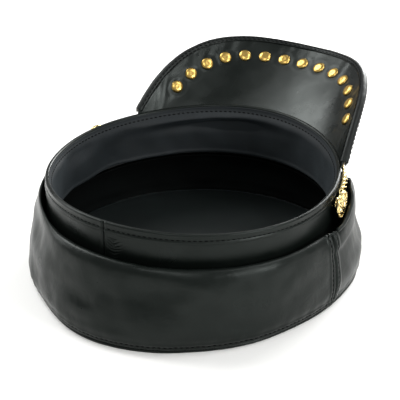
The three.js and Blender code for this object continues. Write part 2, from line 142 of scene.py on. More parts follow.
@dataclass(frozen=True)
class Leather:
    """Chrome-tanned cowhide, drum-dyed black and lightly polished.

    The eye sees a near-black skin with broad soft highlights, broken by a fine
    pebbled grain, a few long creases and patches polished by handling.
    """

    name: str
    colour: str = "#0b0f0d"
    worn_colour: str = "#181d1b"
    roughness: float = 0.36
    roughness_spread: float = 0.13
    grain_mm: float = 0.9  # real pores are about 0.3 mm; drawn coarser to show
    grain_depth_mm: float = 0.07
    crease_mm: float = 12.0
    crease_depth_mm: float = 0.55
    polish_mm: float = 28.0  # about a fingertip's rub
    shine: float = 0.21  # the dye coat reflects less than bare polished hide

    def material(self) -> Material:
        """Builds the leather's material.

        Returns:
            The finished material.
        """
        material, output = new_material(self.name)
        place = add_node(material, "TexCoord").outputs["Object"]
        pores = add_node(
            material, "TexVoronoi",
            {"feature": "DISTANCE_TO_EDGE", "Scale": 1 / (self.grain_mm * MM)},
            {"Vector": place},
        )
        creases = add_node(
            material, "TexNoise",
            {"Scale": 1 / (self.crease_mm * MM), "Detail": 6.0, "Distortion": 1.2},
            {"Vector": place},
        )
        polish = add_node(
            material, "TexNoise", {"Scale": 1 / (self.polish_mm * MM), "Detail": 3.0},
            {"Vector": place},
        )
        rough = add_node(
            material, "MapRange",
            {
                "From Min": 0.3,
                "From Max": 0.7,
                "To Min": self.roughness - self.roughness_spread,
                "To Max": self.roughness + self.roughness_spread,
            },
            {"Value": polish.outputs["Fac"]},
        )
        wear = add_node(material, "NewGeometry")
        edges = add_node(
            material, "MapRange", {"From Min": 0.51, "From Max": 0.60, "To Max": 0.7},
            {"Value": wear.outputs["Pointiness"]},
        )
        colour = add_node(
            material, "MixRGB", {"Color1": linear(self.colour), "Color2": linear(self.worn_colour)},
            {"Fac": edges.outputs["Result"]},
        )
        grain = add_node(
            material, "Bump", {"Strength": 0.7, "Distance": self.grain_depth_mm * MM},
            {"Height": pores.outputs["Distance"]},
        )
        skin = add_node(
            material, "Bump", {"Strength": 0.5, "Distance": self.crease_depth_mm * MM},
            {"Height": creases.outputs["Fac"], "Normal": grain.outputs["Normal"]},
        )
        shader = add_node(
            material, "BsdfPrincipled",
            {
                "IOR": 1.5,
                "Specular IOR Level": self.shine,
                "Specular Tint": (0.91, 1.0, 0.96, 1.0),
            },
            {
                "Base Color": colour.outputs["Color"],
                "Roughness": rough.outputs["Result"],
                "Normal": skin.outputs["Normal"],
            },
        )
        material.node_tree.links.new(shader.outputs["BSDF"], output.inputs["Surface"])
        return material


@dataclass(frozen=True)
class WovenCloth:
    """Black-navy cotton twill or smooth lining satin, woven from dyed yarn.

    The eye sees a dark matt cloth with a faint diagonal rib. The satin has a
    tighter rib and a soft sheen. The side wall's copy of the satin is painted
    darker and duller, as painted shade.
    """

    name: str
    colour: str
    rib_colour: str
    rib_mm: float
    rib_depth_mm: float
    roughness: float
    sheen: float
    shine: float = 0.5
    slub_mm: float = 12.0

    def material(self) -> Material:
        """Builds the cloth's material, with its ribs laid along the piece's UVs.

        Returns:
            The finished material.
        """
        material, output = new_material(self.name)
        place = add_node(material, "TexCoord")
        sine_period = 2 * math.pi / 10  # of a diagonal band wave at scale 1
        ribs = add_node(
            material, "TexWave",
            {
                "wave_type": "BANDS",
                "bands_direction": "DIAGONAL",
                "Scale": sine_period / (self.rib_mm * MM),
                "Distortion": 0.6,
                "Detail": 1.0,
            },
            {"Vector": place.outputs["UV"]},
        )
        slub = add_node(
            material, "TexNoise", {"Scale": 1 / (self.slub_mm * MM), "Detail": 5.0},
            {"Vector": place.outputs["Object"]},
        )
        shade = add_node(
            material, "Math", {"operation": "MULTIPLY"},
            {0: ribs.outputs["Fac"], 1: slub.outputs["Fac"]},
        )
        colour = add_node(
            material, "MixRGB", {"Color1": linear(self.colour), "Color2": linear(self.rib_colour)},
            {"Fac": shade.outputs["Value"]},
        )
        weave = add_node(
            material, "Bump", {"Strength": 0.6, "Distance": self.rib_depth_mm * MM},
            {"Height": ribs.outputs["Fac"]},
        )
        shader = add_node(
            material, "BsdfPrincipled",
            {
                "Roughness": self.roughness,
                "Specular IOR Level": self.shine,
                "Sheen Weight": self.sheen,
                "Sheen Roughness": 0.4,
                "Sheen Tint": linear("#5d6a70"),
            },
            {"Base Color": colour.outputs["Color"], "Normal": weave.outputs["Normal"]},
        )
        material.node_tree.links.new(shader.outputs["BSDF"], output.inputs["Surface"])
        return material


@dataclass(frozen=True)
class PlatedMetal:
    """Brass stampings: plated pale gold and polished, or left antique.

    The eye sees bright raised edges and faint cloudy tarnish. The recesses are
    darkened, partly tarnish and partly painted shade.
    """

    name: str
    colour: str
    # the colour of tarnish, and of the painted shade in the recesses
    tarnish_and_shade_colour: str
    roughness: float
    tarnish: float
    cloud_mm: float = 2.5

    def material(self) -> Material:
        """Builds the metal's material.

        Returns:
            The finished material.
        """
        material, output = new_material(self.name)
        place = add_node(material, "TexCoord").outputs["Object"]
        cloud = add_node(
            material, "TexNoise", {"Scale": 1 / (self.cloud_mm * MM), "Detail": 4.0},
            {"Vector": place},
        )
        shape = add_node(material, "NewGeometry")
        # Recesses darken towards the tarnish colour: tarnish in the hollows, and painted shade as
        # well.
        recess_tarnish_and_shade = add_node(
            material, "MapRange", {"From Min": 0.50, "From Max": 0.42, "To Max": self.tarnish},
            {"Value": shape.outputs["Pointiness"]},
        )
        amount = add_node(
            material, "Math", {"operation": "MULTIPLY_ADD", "use_clamp": True},
            {0: cloud.outputs["Fac"], 2: recess_tarnish_and_shade.outputs["Result"]},
        )
        amount.inputs[1].default_value = self.tarnish * 0.5
        colour = add_node(
            material, "MixRGB",
            {"Color1": linear(self.colour), "Color2": linear(self.tarnish_and_shade_colour)},
            {"Fac": amount.outputs["Value"]},
        )
        rough = add_node(
            material, "MapRange", {"To Min": self.roughness, "To Max": self.roughness + 0.25},
            {"Value": amount.outputs["Value"]},
        )
        dents = add_node(
            material, "Bump", {"Strength": 0.25, "Distance": 0.05 * MM},
            {"Height": cloud.outputs["Fac"]},
        )
        shader = add_node(
            material, "BsdfPrincipled", {"Metallic": 1.0},
            {
                "Base Color": colour.outputs["Color"],
                "Roughness": rough.outputs["Result"],
                "Normal": dents.outputs["Normal"],
            },
        )
        material.node_tree.links.new(shader.outputs["BSDF"], output.inputs["Surface"])
        return material


@dataclass(frozen=True)
class SewingThread:
    """Bonded black polyester thread, two plies twisted together.

    The eye sees short dull dashes, darker than the polished leather beside them.
    """

    name: str = "bonded_thread"
    colour: str = "#040505"
    ply_mm: float = 0.35
    roughness: float = 0.8
    shine: float = 0.04  # waxed and sunk in its groove, it hardly glints

    def material(self) -> Material:
        """Builds the thread's material.

        Returns:
            The finished material.
        """
        material, output = new_material(self.name)
        place = add_node(material, "TexCoord").outputs["Object"]
        plies = add_node(
            material, "TexNoise", {"Scale": 1 / (self.ply_mm * MM), "Detail": 2.0},
            {"Vector": place},
        )
        twist = add_node(
            material, "Bump", {"Strength": 0.5, "Distance": 0.05 * MM},
            {"Height": plies.outputs["Fac"]},
        )
        shader = add_node(
            material, "BsdfPrincipled",
            {
                "Base Color": linear(self.colour),
                "Roughness": self.roughness,
                "Specular IOR Level": self.shine,
            },
            {"Normal": twist.outputs["Normal"]},
        )
        material.node_tree.links.new(shader.outputs["BSDF"], output.inputs["Surface"])
        return material


@dataclass(frozen=True)
class PressedSheet:
    """Buckram and fibre board: pressed or pasted fibres, hidden in the cap.

    The eye would see a dull, flecked, slightly rough sheet.
    """

    name: str
    colour: str
    fleck_colour: str
    fibre_mm: float = 1.5

    def material(self) -> Material:
        """Builds the sheet's material.

        Returns:
            The finished material.
        """
        material, output = new_material(self.name)
        place = add_node(material, "TexCoord").outputs["Object"]
        fibres = add_node(
            material, "TexNoise",
            {"Scale": 1 / (self.fibre_mm * MM), "Detail": 6.0, "Distortion": 2.0},
            {"Vector": place},
        )
        colour = add_node(
            material, "MixRGB",
            {"Color1": linear(self.colour), "Color2": linear(self.fleck_colour)},
            {"Fac": fibres.outputs["Fac"]},
        )
        felt = add_node(
            material, "Bump", {"Strength": 0.5, "Distance": 0.1 * MM},
            {"Height": fibres.outputs["Fac"]},
        )
        shader = add_node(
            material, "BsdfPrincipled", {"Roughness": 0.9},
            {"Base Color": colour.outputs["Color"], "Normal": felt.outputs["Normal"]},
        )
        material.node_tree.links.new(shader.outputs["BSDF"], output.inputs["Surface"])
        return material


class Finish(Enum):
    """The finishes of the cap, each built once and shared."""

    CROWN_LEATHER = Leather("crown_leather")
    BAND_LEATHER = Leather("band_leather", grain_mm=0.7, crease_depth_mm=0.16)
    VISOR_LEATHER = Leather(
        "visor_leather", roughness=0.34, crease_depth_mm=0.08, crease_mm=14.0, shine=0.32
    )
    TAPE_LEATHER = Leather("tape_leather", colour="#151616", roughness=0.42, grain_mm=0.6)
    TWILL = WovenCloth("sweatband_twill", "#0f1416", "#20292e", 0.8, 0.06, 0.7, 0.3, 0.4)
    SATIN = WovenCloth("lining_satin", "#0c1010", "#1c2624", 0.5, 0.02, 0.5, 0.15)
    # The side wall's satin: a darker, duller copy of the lining satin, painted shade for a wall
    # that lies in shadow.
    SHADE_SATIN = WovenCloth("lining_wall_painted_shade_satin", "#050707", "#0d1211", 0.5, 0.02, 0.8, 0.0, 0.1)
    GOLD = PlatedMetal("polished_gold_plate", "#f2dca0", "#5a4018", 0.16, 0.55)
    BRASS = PlatedMetal("antique_brass", "#dcb866", "#4a3616", 0.27, 0.5)
    THREAD = SewingThread()
    BUCKRAM = PressedSheet("black_buckram", "#2c2d2d", "#1d1e1f")
    FIBREBOARD = PressedSheet("pressed_fibre_board", "#6f675a", "#4c463c")

    def material(self) -> Material:
        """Gives the finish's material, making it the first time.

        Returns:
            The shared material.
        """
        return bpy.data.materials.get(self.value.name) or self.value.material()


# ------------------------------------------------------------ shape functions


def smoothstep(value: Values, low: float, high: float) -> Values:
    """Rises smoothly from 0 at low to 1 at high."""
    share = np.clip((value - low) / (high - low), 0, 1)
    return share * share * (3 - 2 * share)


def bell(distance: Values, width: float) -> Values:
    """Gives 1 at distance 0, falling off smoothly over about one width."""
    return np.exp(-((distance / width) ** 2))


def ripple(points: Array, size: float, seed: float) -> Array:
    """Gives smooth random heights over a set of points.

    Args:
        points: Places in millimetres, with x, y, z last.
        size: About how wide one bump is.
        seed: Moves the pattern, so that two pieces differ.

    Returns:
        Heights from about -1 to 1, in the points' own layout.
    """
    flat = (points / size + seed).reshape(-1, 3)
    heights = np.fromiter((noise.noise(Vector(p)) for p in flat), float, len(flat))
    return heights.reshape(points.shape[:-1])


def distance_along(line: Array) -> Array:
    """Gives how far along a line each of its points is."""
    return np.concatenate([[0], np.cumsum(np.linalg.norm(np.diff(line, axis=0), axis=1))])


def unit(vectors: Array) -> Array:
    """Gives vectors of length 1 with the same directions."""
    return vectors / np.maximum(np.linalg.norm(vectors, axis=-1, keepdims=True), TINY)


def full_turn(steps: int) -> Array:
    """Gives the angles of evenly spaced steps round a circle."""
    return np.arange(steps) * 2 * math.pi / steps


def smooth_line(points: Pairs, count: int) -> Array:
    """Runs a Catmull-Rom curve through a few points, evenly spaced along it.

    Args:
        points: The places that the line passes through.
        count: How many points the result has.

    Returns:
        The line's points, one row each.
    """
    given = np.array(points, float)
    padded = np.vstack([2 * given[0] - given[1], given, 2 * given[-1] - given[-2]])
    share = np.linspace(0, 1, 16, endpoint=False)[:, None]
    spans = []
    for a, b, c, d in zip(padded, padded[1:], padded[2:], padded[3:]):
        cubic = -a + 3 * b - 3 * c + d
        square = 2 * a - 5 * b + 4 * c - d
        spans.append(0.5 * (2 * b + (c - a) * share + square * share**2 + cubic * share**3))
    line = np.vstack([*spans, given[-1:]])
    walked = distance_along(line)
    even = np.linspace(0, walked[-1], count)
    return np.stack([np.interp(even, walked, line[:, k]) for k in range(2)], -1)


def around(pairs: Pairs, t: Values) -> Array:
    """Reads (degrees, value) pairs at angles, curving smoothly and closing on itself.

    Args:
        pairs: Angles from 0 to 360 in rising order, each with its value.
        t: The angles to read at, in radians.

    Returns:
        A value for each angle.
    """
    places, values = np.array(pairs, float).T
    places = np.concatenate([places - 360, places, places + 360])
    values = np.tile(values, 3)
    slopes = np.gradient(values, places)
    slopes[1:-1] = (values[2:] - values[:-2]) / (places[2:] - places[:-2])
    angle = np.degrees(t) % 360
    k = np.searchsorted(places, angle, side="right") - 1
    span = places[k + 1] - places[k]
    share = (angle - places[k]) / span
    rise = share * share * (3 - 2 * share)
    leaving = slopes[k] * span * share * (1 - share) ** 2
    arriving = slopes[k + 1] * span * share * share * (1 - share)
    return values[k] + (values[k + 1] - values[k]) * rise + leaving - arriving


def grid_normals(points: Array) -> Array:
    """Gives the normals of a grid whose rows run along t and columns along the profile.

    Args:
        points: The grid, rows by columns.

    Returns:
        A unit normal for each point.
    """
    along = np.gradient(points, axis=0)
    across = np.gradient(points, axis=1)
    return unit(np.cross(across, along))


@dataclass(frozen=True)
class CapForm:
    """The oval and the surfaces that every sewn piece follows, in millimetres."""

    half_width: float
    half_length: float
    rim_height: float
    rim_front_rise: float = 0.6
    rim_saddle: float = 2.7
    egg: float = 0.019
    mean_radius: float = 95.5
    band_seam: float = 36.0
    backward_shift: float = 2.6
    tip_edge: float = 10.4
    roll_height: float = 55.0
    tuck_angle: float = 231.0
    tuck_spread: float = 26.0
    tuck_offset: float = 1.1
    tuck_share: float = 0.45
    pocket_half_angle: float = 11.0
    pocket_depth: float = 6.9
    front_groove: float = 3.4
    outer_share: float = 0.47
    button_angle: float = 78.0
    button_height: float = 59.8
    visor_radius: float = 100.0
    visor_half_angle: float = 61.2
    visor_depth: float = 59.2
    visor_tilt: float = 57.3
    visor_tilt_loss: float = 0.66
    visor_fan: float = 0.43
    visor_shoulder: float = 3.35
    visor_point: float = 0.913
    visor_shift: float = -1.1
    visor_end: float = 0.271
    rim_left_rise: float = 1.7
    rim_left_angle: float = -85.0
    rim_left_spread: float = 28.0

    # How far the roll's ridge is above its plain height, by degrees round the cap.
    ROLL_SLUMP: ClassVar[Pairs] = [
        (0, -3), (30, -3), (46, -2.5), (55, 4), (64, 8), (72, 4), (80, -1.5), (90, -4),
        (120, -3.5), (150, -2), (180, 0), (210, 2), (237, 3.4), (270, 4), (300, 2), (330, -2),
    ]

    # How far the crown's foot spreads or draws in, by degrees round the cap.
    CROWN_SPREAD: ClassVar[Pairs] = [
        (0, 2), (30, 3.2), (57, 4.2), (68, 3.6), (80, 1.1), (92, -0.5), (110, -1.7), (126, 0),
        (145, 0.8), (158, 2.6), (178, 3.4), (190, 1.9), (200, -0.6), (212, -2.1), (225, -1.4),
        (240, -0.5), (275, 0), (320, 1),
    ]

    # How far its side bulges or hollows between foot and roll, by degrees.
    CROWN_BELLY: ClassVar[Pairs] = [
        (0, 0), (35, 0.5), (55, 1.8), (68, 2.2), (80, 1.6), (92, 0.3), (105, 0), (205, 0),
        (225, -1), (245, -1.5), (262, -1), (275, -0.4), (290, 0), (330, 0),
    ]

    @classmethod
    def from_frame(cls) -> "CapForm":
        """Reads the rim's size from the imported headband.

        Returns:
            The form with its three leading sizes taken from the frame.
        """
        low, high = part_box("headband")
        half_length = (high.y - low.y) / 2 / MM
        half_width = (high.x - low.x) / 2 / MM
        rim_height = high.z / MM - cls.rim_front_rise - cls.rim_saddle
        return cls(half_width, half_length, rim_height)

    def rim_lift(self, t: Values) -> Values:
        """Gives how far the rim stands above its mean height at an angle.

        Args:
            t: The angle round the cap.

        Returns:
            The rise, below zero where the rim dips.
        """
        left = bell(np.degrees(t) - self.rim_left_angle, self.rim_left_spread)
        saddle = self.rim_front_rise * np.cos(t) + self.rim_saddle * np.cos(2 * t)
        return saddle + self.rim_left_rise * left

    def oval(self, t: Values, offset: Values, z: Values) -> Array:
        """Gives the point at an angle, an offset and a height.

        Args:
            t: The angle round the cap.
            offset: The distance out from the band's outer face.
            z: The height.

        Returns:
            The point, with x, y, z last.
        """
        t, offset, z = np.broadcast_arrays(t, offset, z)
        scale = 1 + offset / self.mean_radius
        x = self.half_width * scale * np.sin(t) * (1 - self.egg * np.cos(t))
        return np.stack([x, self.half_length * scale * np.cos(t), z], -1)

    def band(self, t: Values, offset: Values, z: Values) -> Array:
        """Gives a point of the headband, whose height follows the rim."""
        share = np.clip((z - self.band_seam) / (self.rim_height - self.band_seam), 0, 1)
        return self.oval(t, offset, z + self.rim_lift(t) * share)

    def stand_off(self, t: Values) -> Values:
        """Gives how far the crown's roll stands off the band at an angle.

        Args:
            t: The angle round the cap.

        Returns:
            The distance, which is zero where the roll lies against the band.
        """
        turn = np.abs((np.asarray(t) + math.pi) % (2 * math.pi) - math.pi)
        away = (turn - math.radians(self.button_angle)) / math.radians(self.pocket_half_angle)
        pocket = self.pocket_depth * np.exp(-0.5 * away**4)
        groove = self.front_groove * smoothstep(np.cos(t), 0.1, 0.3)
        return np.maximum(pocket, groove)

    def tuck(self, t: Values, z: Values) -> Values:
        """Gives how much of the roll leans in against the band."""
        away = (np.degrees(t) % 360 - self.tuck_angle) / self.tuck_spread
        return np.exp(-(away**4)) * smoothstep(z, 30, 52)

    def crown(self, t: Values, offset: Values, z: Values) -> Array:
        """Gives a point of the crown's side panels or of the lining under them.

        Args:
            t: The angle round the cap.
            offset: The profile's offset, before the crown's own shape.
            z: The profile's height, before the roll's slump.

        Returns:
            The point, with x, y, z last.
        """
        above = smoothstep(z, self.band_seam, self.roll_height - 10)
        share = 1 + (self.outer_share - 1) * smoothstep(offset, 3.5, 7)
        tucked = self.tuck_offset + (offset - 1.5) * self.tuck_share
        leaning = self.tuck(t, z)
        pushed = offset * (1 - leaning) + tucked * leaning
        pushed = pushed + self.stand_off(t) * above * share
        pushed = pushed + around(self.CROWN_SPREAD, t) * (1 - smoothstep(z, 14, 38))
        belly = smoothstep(z, 8, 26) * (1 - smoothstep(z, 30, 44)) * smoothstep(offset, 2, 9)
        pushed = pushed + around(self.CROWN_BELLY, t) * belly
        lift = around(self.ROLL_SLUMP, t) * smoothstep(z, self.band_seam, self.roll_height)
        points = self.oval(t, pushed, z + lift)
        points[..., 1] -= self.backward_shift * np.clip(offset / self.tip_edge, 0, 1)
        return points

    def disc(self, t: Values, radius: Values, z: Values) -> Array:
        """Gives a point of a flat disc of the crown, whose edge follows its foot.

        Args:
            t: The angle round the cap.
            radius: The radius on a round cap of the same size.
            z: The height.

        Returns:
            The point, with x, y, z last.
        """
        t, radius, z = np.broadcast_arrays(t, radius, z)
        edge_share = np.clip(radius / (self.mean_radius + self.tip_edge), 0, 1) ** 2
        share = (radius + around(self.CROWN_SPREAD, t) * edge_share) / self.mean_radius
        back = self.backward_shift * np.clip(radius / self.mean_radius, 0, 1)
        x = self.half_width * share * np.sin(t)
        return np.stack([x, self.half_length * share * np.cos(t) - back, z], -1)

    def visor_face(self, along: Array, out: Array) -> Array:
        """Gives a point of the visor's face on the wearer's side.

        Args:
            along: The place along the visor's root.
            out: The distance out from the root.

        Returns:
            The point, with x, y, z last.
        """
        along, out = np.broadcast_arrays(np.asarray(along, float), np.asarray(out, float))
        t = along / self.visor_radius
        tilt = math.radians(self.visor_tilt) - self.visor_tilt_loss * t * t
        turn = self.visor_fan * t
        leaning = np.stack(
            [np.sin(tilt) * np.sin(turn), np.sin(tilt) * np.cos(turn), np.cos(tilt)], -1
        )
        return self.oval(t, 0.0, self.rim_height + self.rim_lift(t)) + out[..., None] * leaning

    def visor_normal(self, along: Array, out: Array) -> Array:
        """Gives that face's normals, pointing towards the wearer.

        Args:
            along: The place along the visor's root.
            out: The distance out from the root.

        Returns:
            The unit normal.
        """
        step = 0.05
        across = self.visor_face(along + step, out) - self.visor_face(along - step, out)
        outward = self.visor_face(along, out + step) - self.visor_face(along, out - step)
        return unit(np.cross(across, outward))

    def visor(self, along: Array, out: Array, depth: Values) -> Array:
        """Gives a point inside the visor at a depth below the wearer's side."""
        depth = np.asarray(depth, float)[..., None]
        return self.visor_face(along, out) - self.visor_normal(along, out) * depth

    def outline(self, share: Array, inset: Values) -> tuple[Array, Array]:
        """Gives the visor's flat outline, moved in from its edge.

        Args:
            share: 0 at the right end of the visor, 1 at the left end.
            inset: How far in from the edge, in millimetres.

        Returns:
            The places along the root and out from it.
        """
        end = math.asin(math.cos(self.visor_end) ** (2 / self.visor_shoulder))
        across = np.sin(end * (1 - 2 * np.asarray(share, float)))
        turn = np.arccos(np.sign(across) * np.abs(across) ** (self.visor_shoulder / 2))
        step = 0.01
        before, here, after = (self.bare_outline(turn + s) for s in (-step, 0.0, step))
        tangent = unit(after - before)
        inset = np.broadcast_to(np.asarray(inset, float), turn.shape)
        return here[..., 0] - tangent[..., 1] * inset, here[..., 1] + tangent[..., 0] * inset

    def bare_outline(self, turn: Array) -> Array:
        """Gives the visor's flat superellipse outline at an outline angle.

        Args:
            turn: 0 at the right end, a half turn at the left end.

        Returns:
            The places along the root and out from it, as pairs.
        """
        c = np.cos(turn)
        reach = math.radians(self.visor_half_angle) * self.visor_radius
        along = reach * np.sign(c) * np.abs(c) ** (2 / self.visor_shoulder) + self.visor_shift
        out = self.visor_depth * np.sin(turn) ** (2 / self.visor_point)
        return np.stack([along, out], -1)

    def button_seat(self, side: int) -> tuple[Array, Array]:
        """Gives where a button's axis meets the band, and the axis.

        Args:
            side: -1 for the left button, 1 for the right one.

        Returns:
            The point and the outward direction.
        """
        t = side * math.radians(self.button_angle)
        normal = np.array([math.sin(t) / self.half_width, math.cos(t) / self.half_length, 0.0])
        return self.oval(t, 0.0, self.button_height), unit(normal)


# -------------------------------------------------------------- mesh building


def build_mesh(
    name: str,
    points: Array,
    faces: list[tuple[int, ...]] | Array,
    finish: Finish,
    uv: Array | None = None,
) -> Object:
    """Makes a smooth-shaded object from points in millimetres.

    Args:
        name: The piece's name.
        points: The vertices, one row each.
        faces: The corners of each face.
        finish: What the piece is made of.
        uv: A flat place for each vertex, in millimetres, for woven patterns.

    Returns:
        The new object.
    """
    mesh = bpy.data.meshes.new(name)
    mesh.from_pydata((points.reshape(-1, 3) * MM).tolist(), [], [tuple(f) for f in faces])
    if uv is not None:
        layer = mesh.uv_layers.new(name="cloth")
        corners = np.empty(len(mesh.loops), dtype=np.int32)
        mesh.loops.foreach_get("vertex_index", corners)
        layer.data.foreach_set("uv", (uv[corners] * MM).astype(np.float32).ravel())
    working = bmesh.new()
    working.from_mesh(mesh)
    bmesh.ops.recalc_face_normals(working, faces=working.faces)
    working.to_mesh(mesh)
    working.free()
    mesh.polygons.foreach_set("use_smooth", [True] * len(mesh.polygons))
    mesh.materials.append(finish.material())
    piece = bpy.data.objects.new(name, mesh)
    bpy.context.scene.collection.objects.link(piece)
    return piece


def grid_faces(rows: int, columns: int, closed: bool = False) -> Array:
    """Gives the quads of a grid of vertices.

    Args:
        rows: How many rows the grid has.
        columns: How many vertices each row has.
        closed: Whether the last row joins the first.

    Returns:
        Four corner numbers for each quad.
    """
    numbers = np.arange(rows * columns).reshape(rows, columns)
    if closed:
        numbers = np.vstack([numbers, numbers[:1]])
    corners = (numbers[:-1, :-1], numbers[1:, :-1], numbers[1:, 1:], numbers[:-1, 1:])
    return np.stack([c.ravel() for c in corners], -1)


def sheet_faces(rows: int, columns: int) -> Array:
    """Gives the quads of a closed sheet: its face, its back and the edge between.

    Args:
        rows: How many rows the face has.
        columns: How many vertices each row has.

    Returns:
        Four corner numbers for each quad, with the back's vertices after the face's.
    """
    count = rows * columns
    front = grid_faces(rows, columns)
    ids = np.arange(count).reshape(rows, columns)
    border = np.concatenate([ids[:, 0], ids[-1, 1:], ids[-2::-1, -1], ids[0, -2:0:-1]])
    following = np.roll(border, -1)
    edge = np.stack([border, following, following + count, border + count], -1)
    return np.vstack([front, front[:, ::-1] + count, edge])


def build_sheet(
    name: str,
    face: Array,
    thickness: float,
    finish: Finish,
    normals: Array | None = None,
    uv: Array | None = None,
) -> Object:
    """Makes a closed sheet from a grid that is its outer face.

    Args:
        name: The piece's name.
        face: The outer face's points, rows by columns.
        thickness: How far the back lies behind the face.
        finish: What the sheet is made of.
        normals: The face's normals, where they are known.
        uv: A flat place for each of the face's points.

    Returns:
        The new object.
    """
    if normals is None:
        normals = grid_normals(face)
    back = face - normals * thickness
    faces = sheet_faces(*face.shape[:2])
    flat = None if uv is None else np.vstack([uv.reshape(-1, 2)] * 2)
    return build_mesh(name, np.concatenate([face, back]), faces, finish, flat)


def build_turned(profile: Array, sides: int) -> Mesh:
    """Turns a profile that starts and ends on the axis into points and quads.

    Args:
        profile: Radius and height pairs.
        sides: How many steps make the full turn.

    Returns:
        The points about the +Z axis, and the quads.
    """
    turns = full_turn(sides)
    radius, height = np.maximum(profile[:, 0], 0.001), profile[:, 1]
    points = np.stack(
        [
            np.outer(np.cos(turns), radius),
            np.outer(np.sin(turns), radius),
            np.broadcast_to(height, (sides, len(profile))),
        ],
        -1,
    )
    return points.reshape(-1, 3), grid_faces(sides, len(profile), closed=True)


def build_loop(centre_line: Array, wire: float, sides: int) -> Mesh:
    """Sweeps a round wire along a closed line.

    Args:
        centre_line: The points of the closed line.
        wire: The wire's radius.
        sides: How many points go round the wire.

    Returns:
        The points and the quads.
    """
    along = unit(np.roll(centre_line, -1, 0) - np.roll(centre_line, 1, 0))
    side_axis = unit(np.cross(along, centre_line.mean(0) - centre_line))
    other_axis = np.cross(side_axis, along)
    turns = full_turn(sides)
    ring = (
        centre_line[:, None]
        + wire * np.cos(turns)[None, :, None] * other_axis[:, None]
        + wire * np.sin(turns)[None, :, None] * side_axis[:, None]
    )
    ring = np.concatenate([ring, ring[:, :1]], 1)
    return ring.reshape(-1, 3), grid_faces(len(centre_line), sides + 1, closed=True)


def axes_along(direction: Array) -> Array:
    """Gives three axes, as rows, whose last one lies along a direction.

    Args:
        direction: A unit vector.

    Returns:
        A three by three array.
    """
    up = UP if abs(direction[2]) < 0.9 else np.array([0.0, 1.0, 0.0])
    across = unit(np.cross(up, direction))
    return np.stack([across, np.cross(direction, across), direction])


def join_parts(parts: list[Mesh]) -> tuple[Array, list[tuple[int, ...]]]:
    """Puts several sets of points and faces into one.

    Args:
        parts: Points and faces of each part.

    Returns:
        All the points and all the faces.
    """
    points, faces, first = [], [], 0
    for part_points, part_faces in parts:
        points.append(part_points)
        faces.extend(tuple(int(n) + first for n in f) for f in part_faces)
        first += len(part_points)
    return np.concatenate(points), faces


def dress(piece: Object, body: str, slot: str, *nodes: str) -> Object:
    """Ties a piece to its body and hides the solids it stands for.

    Args:
        piece: The new piece.
        body: The body that it moves with.
        slot: Not used.
        nodes: The solids that it replaces.

    Returns:
        The same piece.
    """
    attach(piece, body)
    if nodes:
        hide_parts(*nodes)
    log.info("%s rides on %s, %d faces", piece.name, body, len(piece.data.polygons))
    return piece


@dataclass(frozen=True)
class StitchRow:
    """A row of lockstitches sunk a little into the leather, in millimetres."""

    line: Array
    normals: Array
    pitch: float = 3.3
    length: float = 2.4
    thread: float = 0.4
    slant: float = 0.10

    def parts(self) -> Mesh:
        """Builds every stitch of the row.

        Returns:
            The points and quads of all the stitches.
        """
        walked = distance_along(self.line)
        count = int(walked[-1] // self.pitch)
        spare = walked[-1] - count * self.pitch
        middles = spare / 2 + self.pitch * (np.arange(count) + 0.5)
        half = self.length / 2

        def along_line(values: Array, walk: Array) -> Array:
            return np.stack([np.interp(walk, walked, values[:, k]) for k in range(3)], -1)

        centres = along_line(self.line, middles)
        ends = (along_line(self.line, middles + way) for way in (half, -half))
        tangents = unit(np.subtract(*ends))
        normals = along_line(self.normals, middles)
        normals = unit(normals - tangents * np.sum(normals * tangents, 1, keepdims=True))
        sides = np.cross(tangents, normals)
        tangents = tangents + sides * self.slant
        stations = np.array([-1.0, -0.85, -0.5, 0.0, 0.5, 0.85, 1.0])
        girth = self.thread * np.array([0.05, 0.62, 0.95, 1.0, 0.95, 0.62, 0.05])
        sink = -0.55 * self.thread * stations**2
        turns = np.arange(7) * 2 * math.pi / 6
        ring = np.stack([np.cos(turns), np.sin(turns)], -1)
        points = (
            centres[:, None, None]
            + tangents[:, None, None] * (stations * half)[None, :, None, None]
            + normals[:, None, None]
            * (sink[:, None] + girth[:, None] * ring[:, 1])[None, :, :, None]
            + sides[:, None, None] * (girth[:, None] * ring[:, 0])[None, :, :, None]
        )
        single = grid_faces(len(stations), len(turns))
        per_stitch = len(stations) * len(turns)
        faces = (single[None] + per_stitch * np.arange(count)[:, None, None]).reshape(-1, 4)
        return points.reshape(-1, 3), faces


def sew(name: str, rows: list[StitchRow]) -> Object:
    """Builds the stitches of several rows as one piece on the cap.

    Args:
        name: The piece's name.
        rows: The rows that belong together.

    Returns:
        The dressed piece.
    """
    points, faces = join_parts([row.parts() for row in rows])
    return dress(build_mesh(name, points, faces, Finish.THREAD), "cap", LEATHER_SLOT)


# --------------------------------------------------------------- sub-assemblies


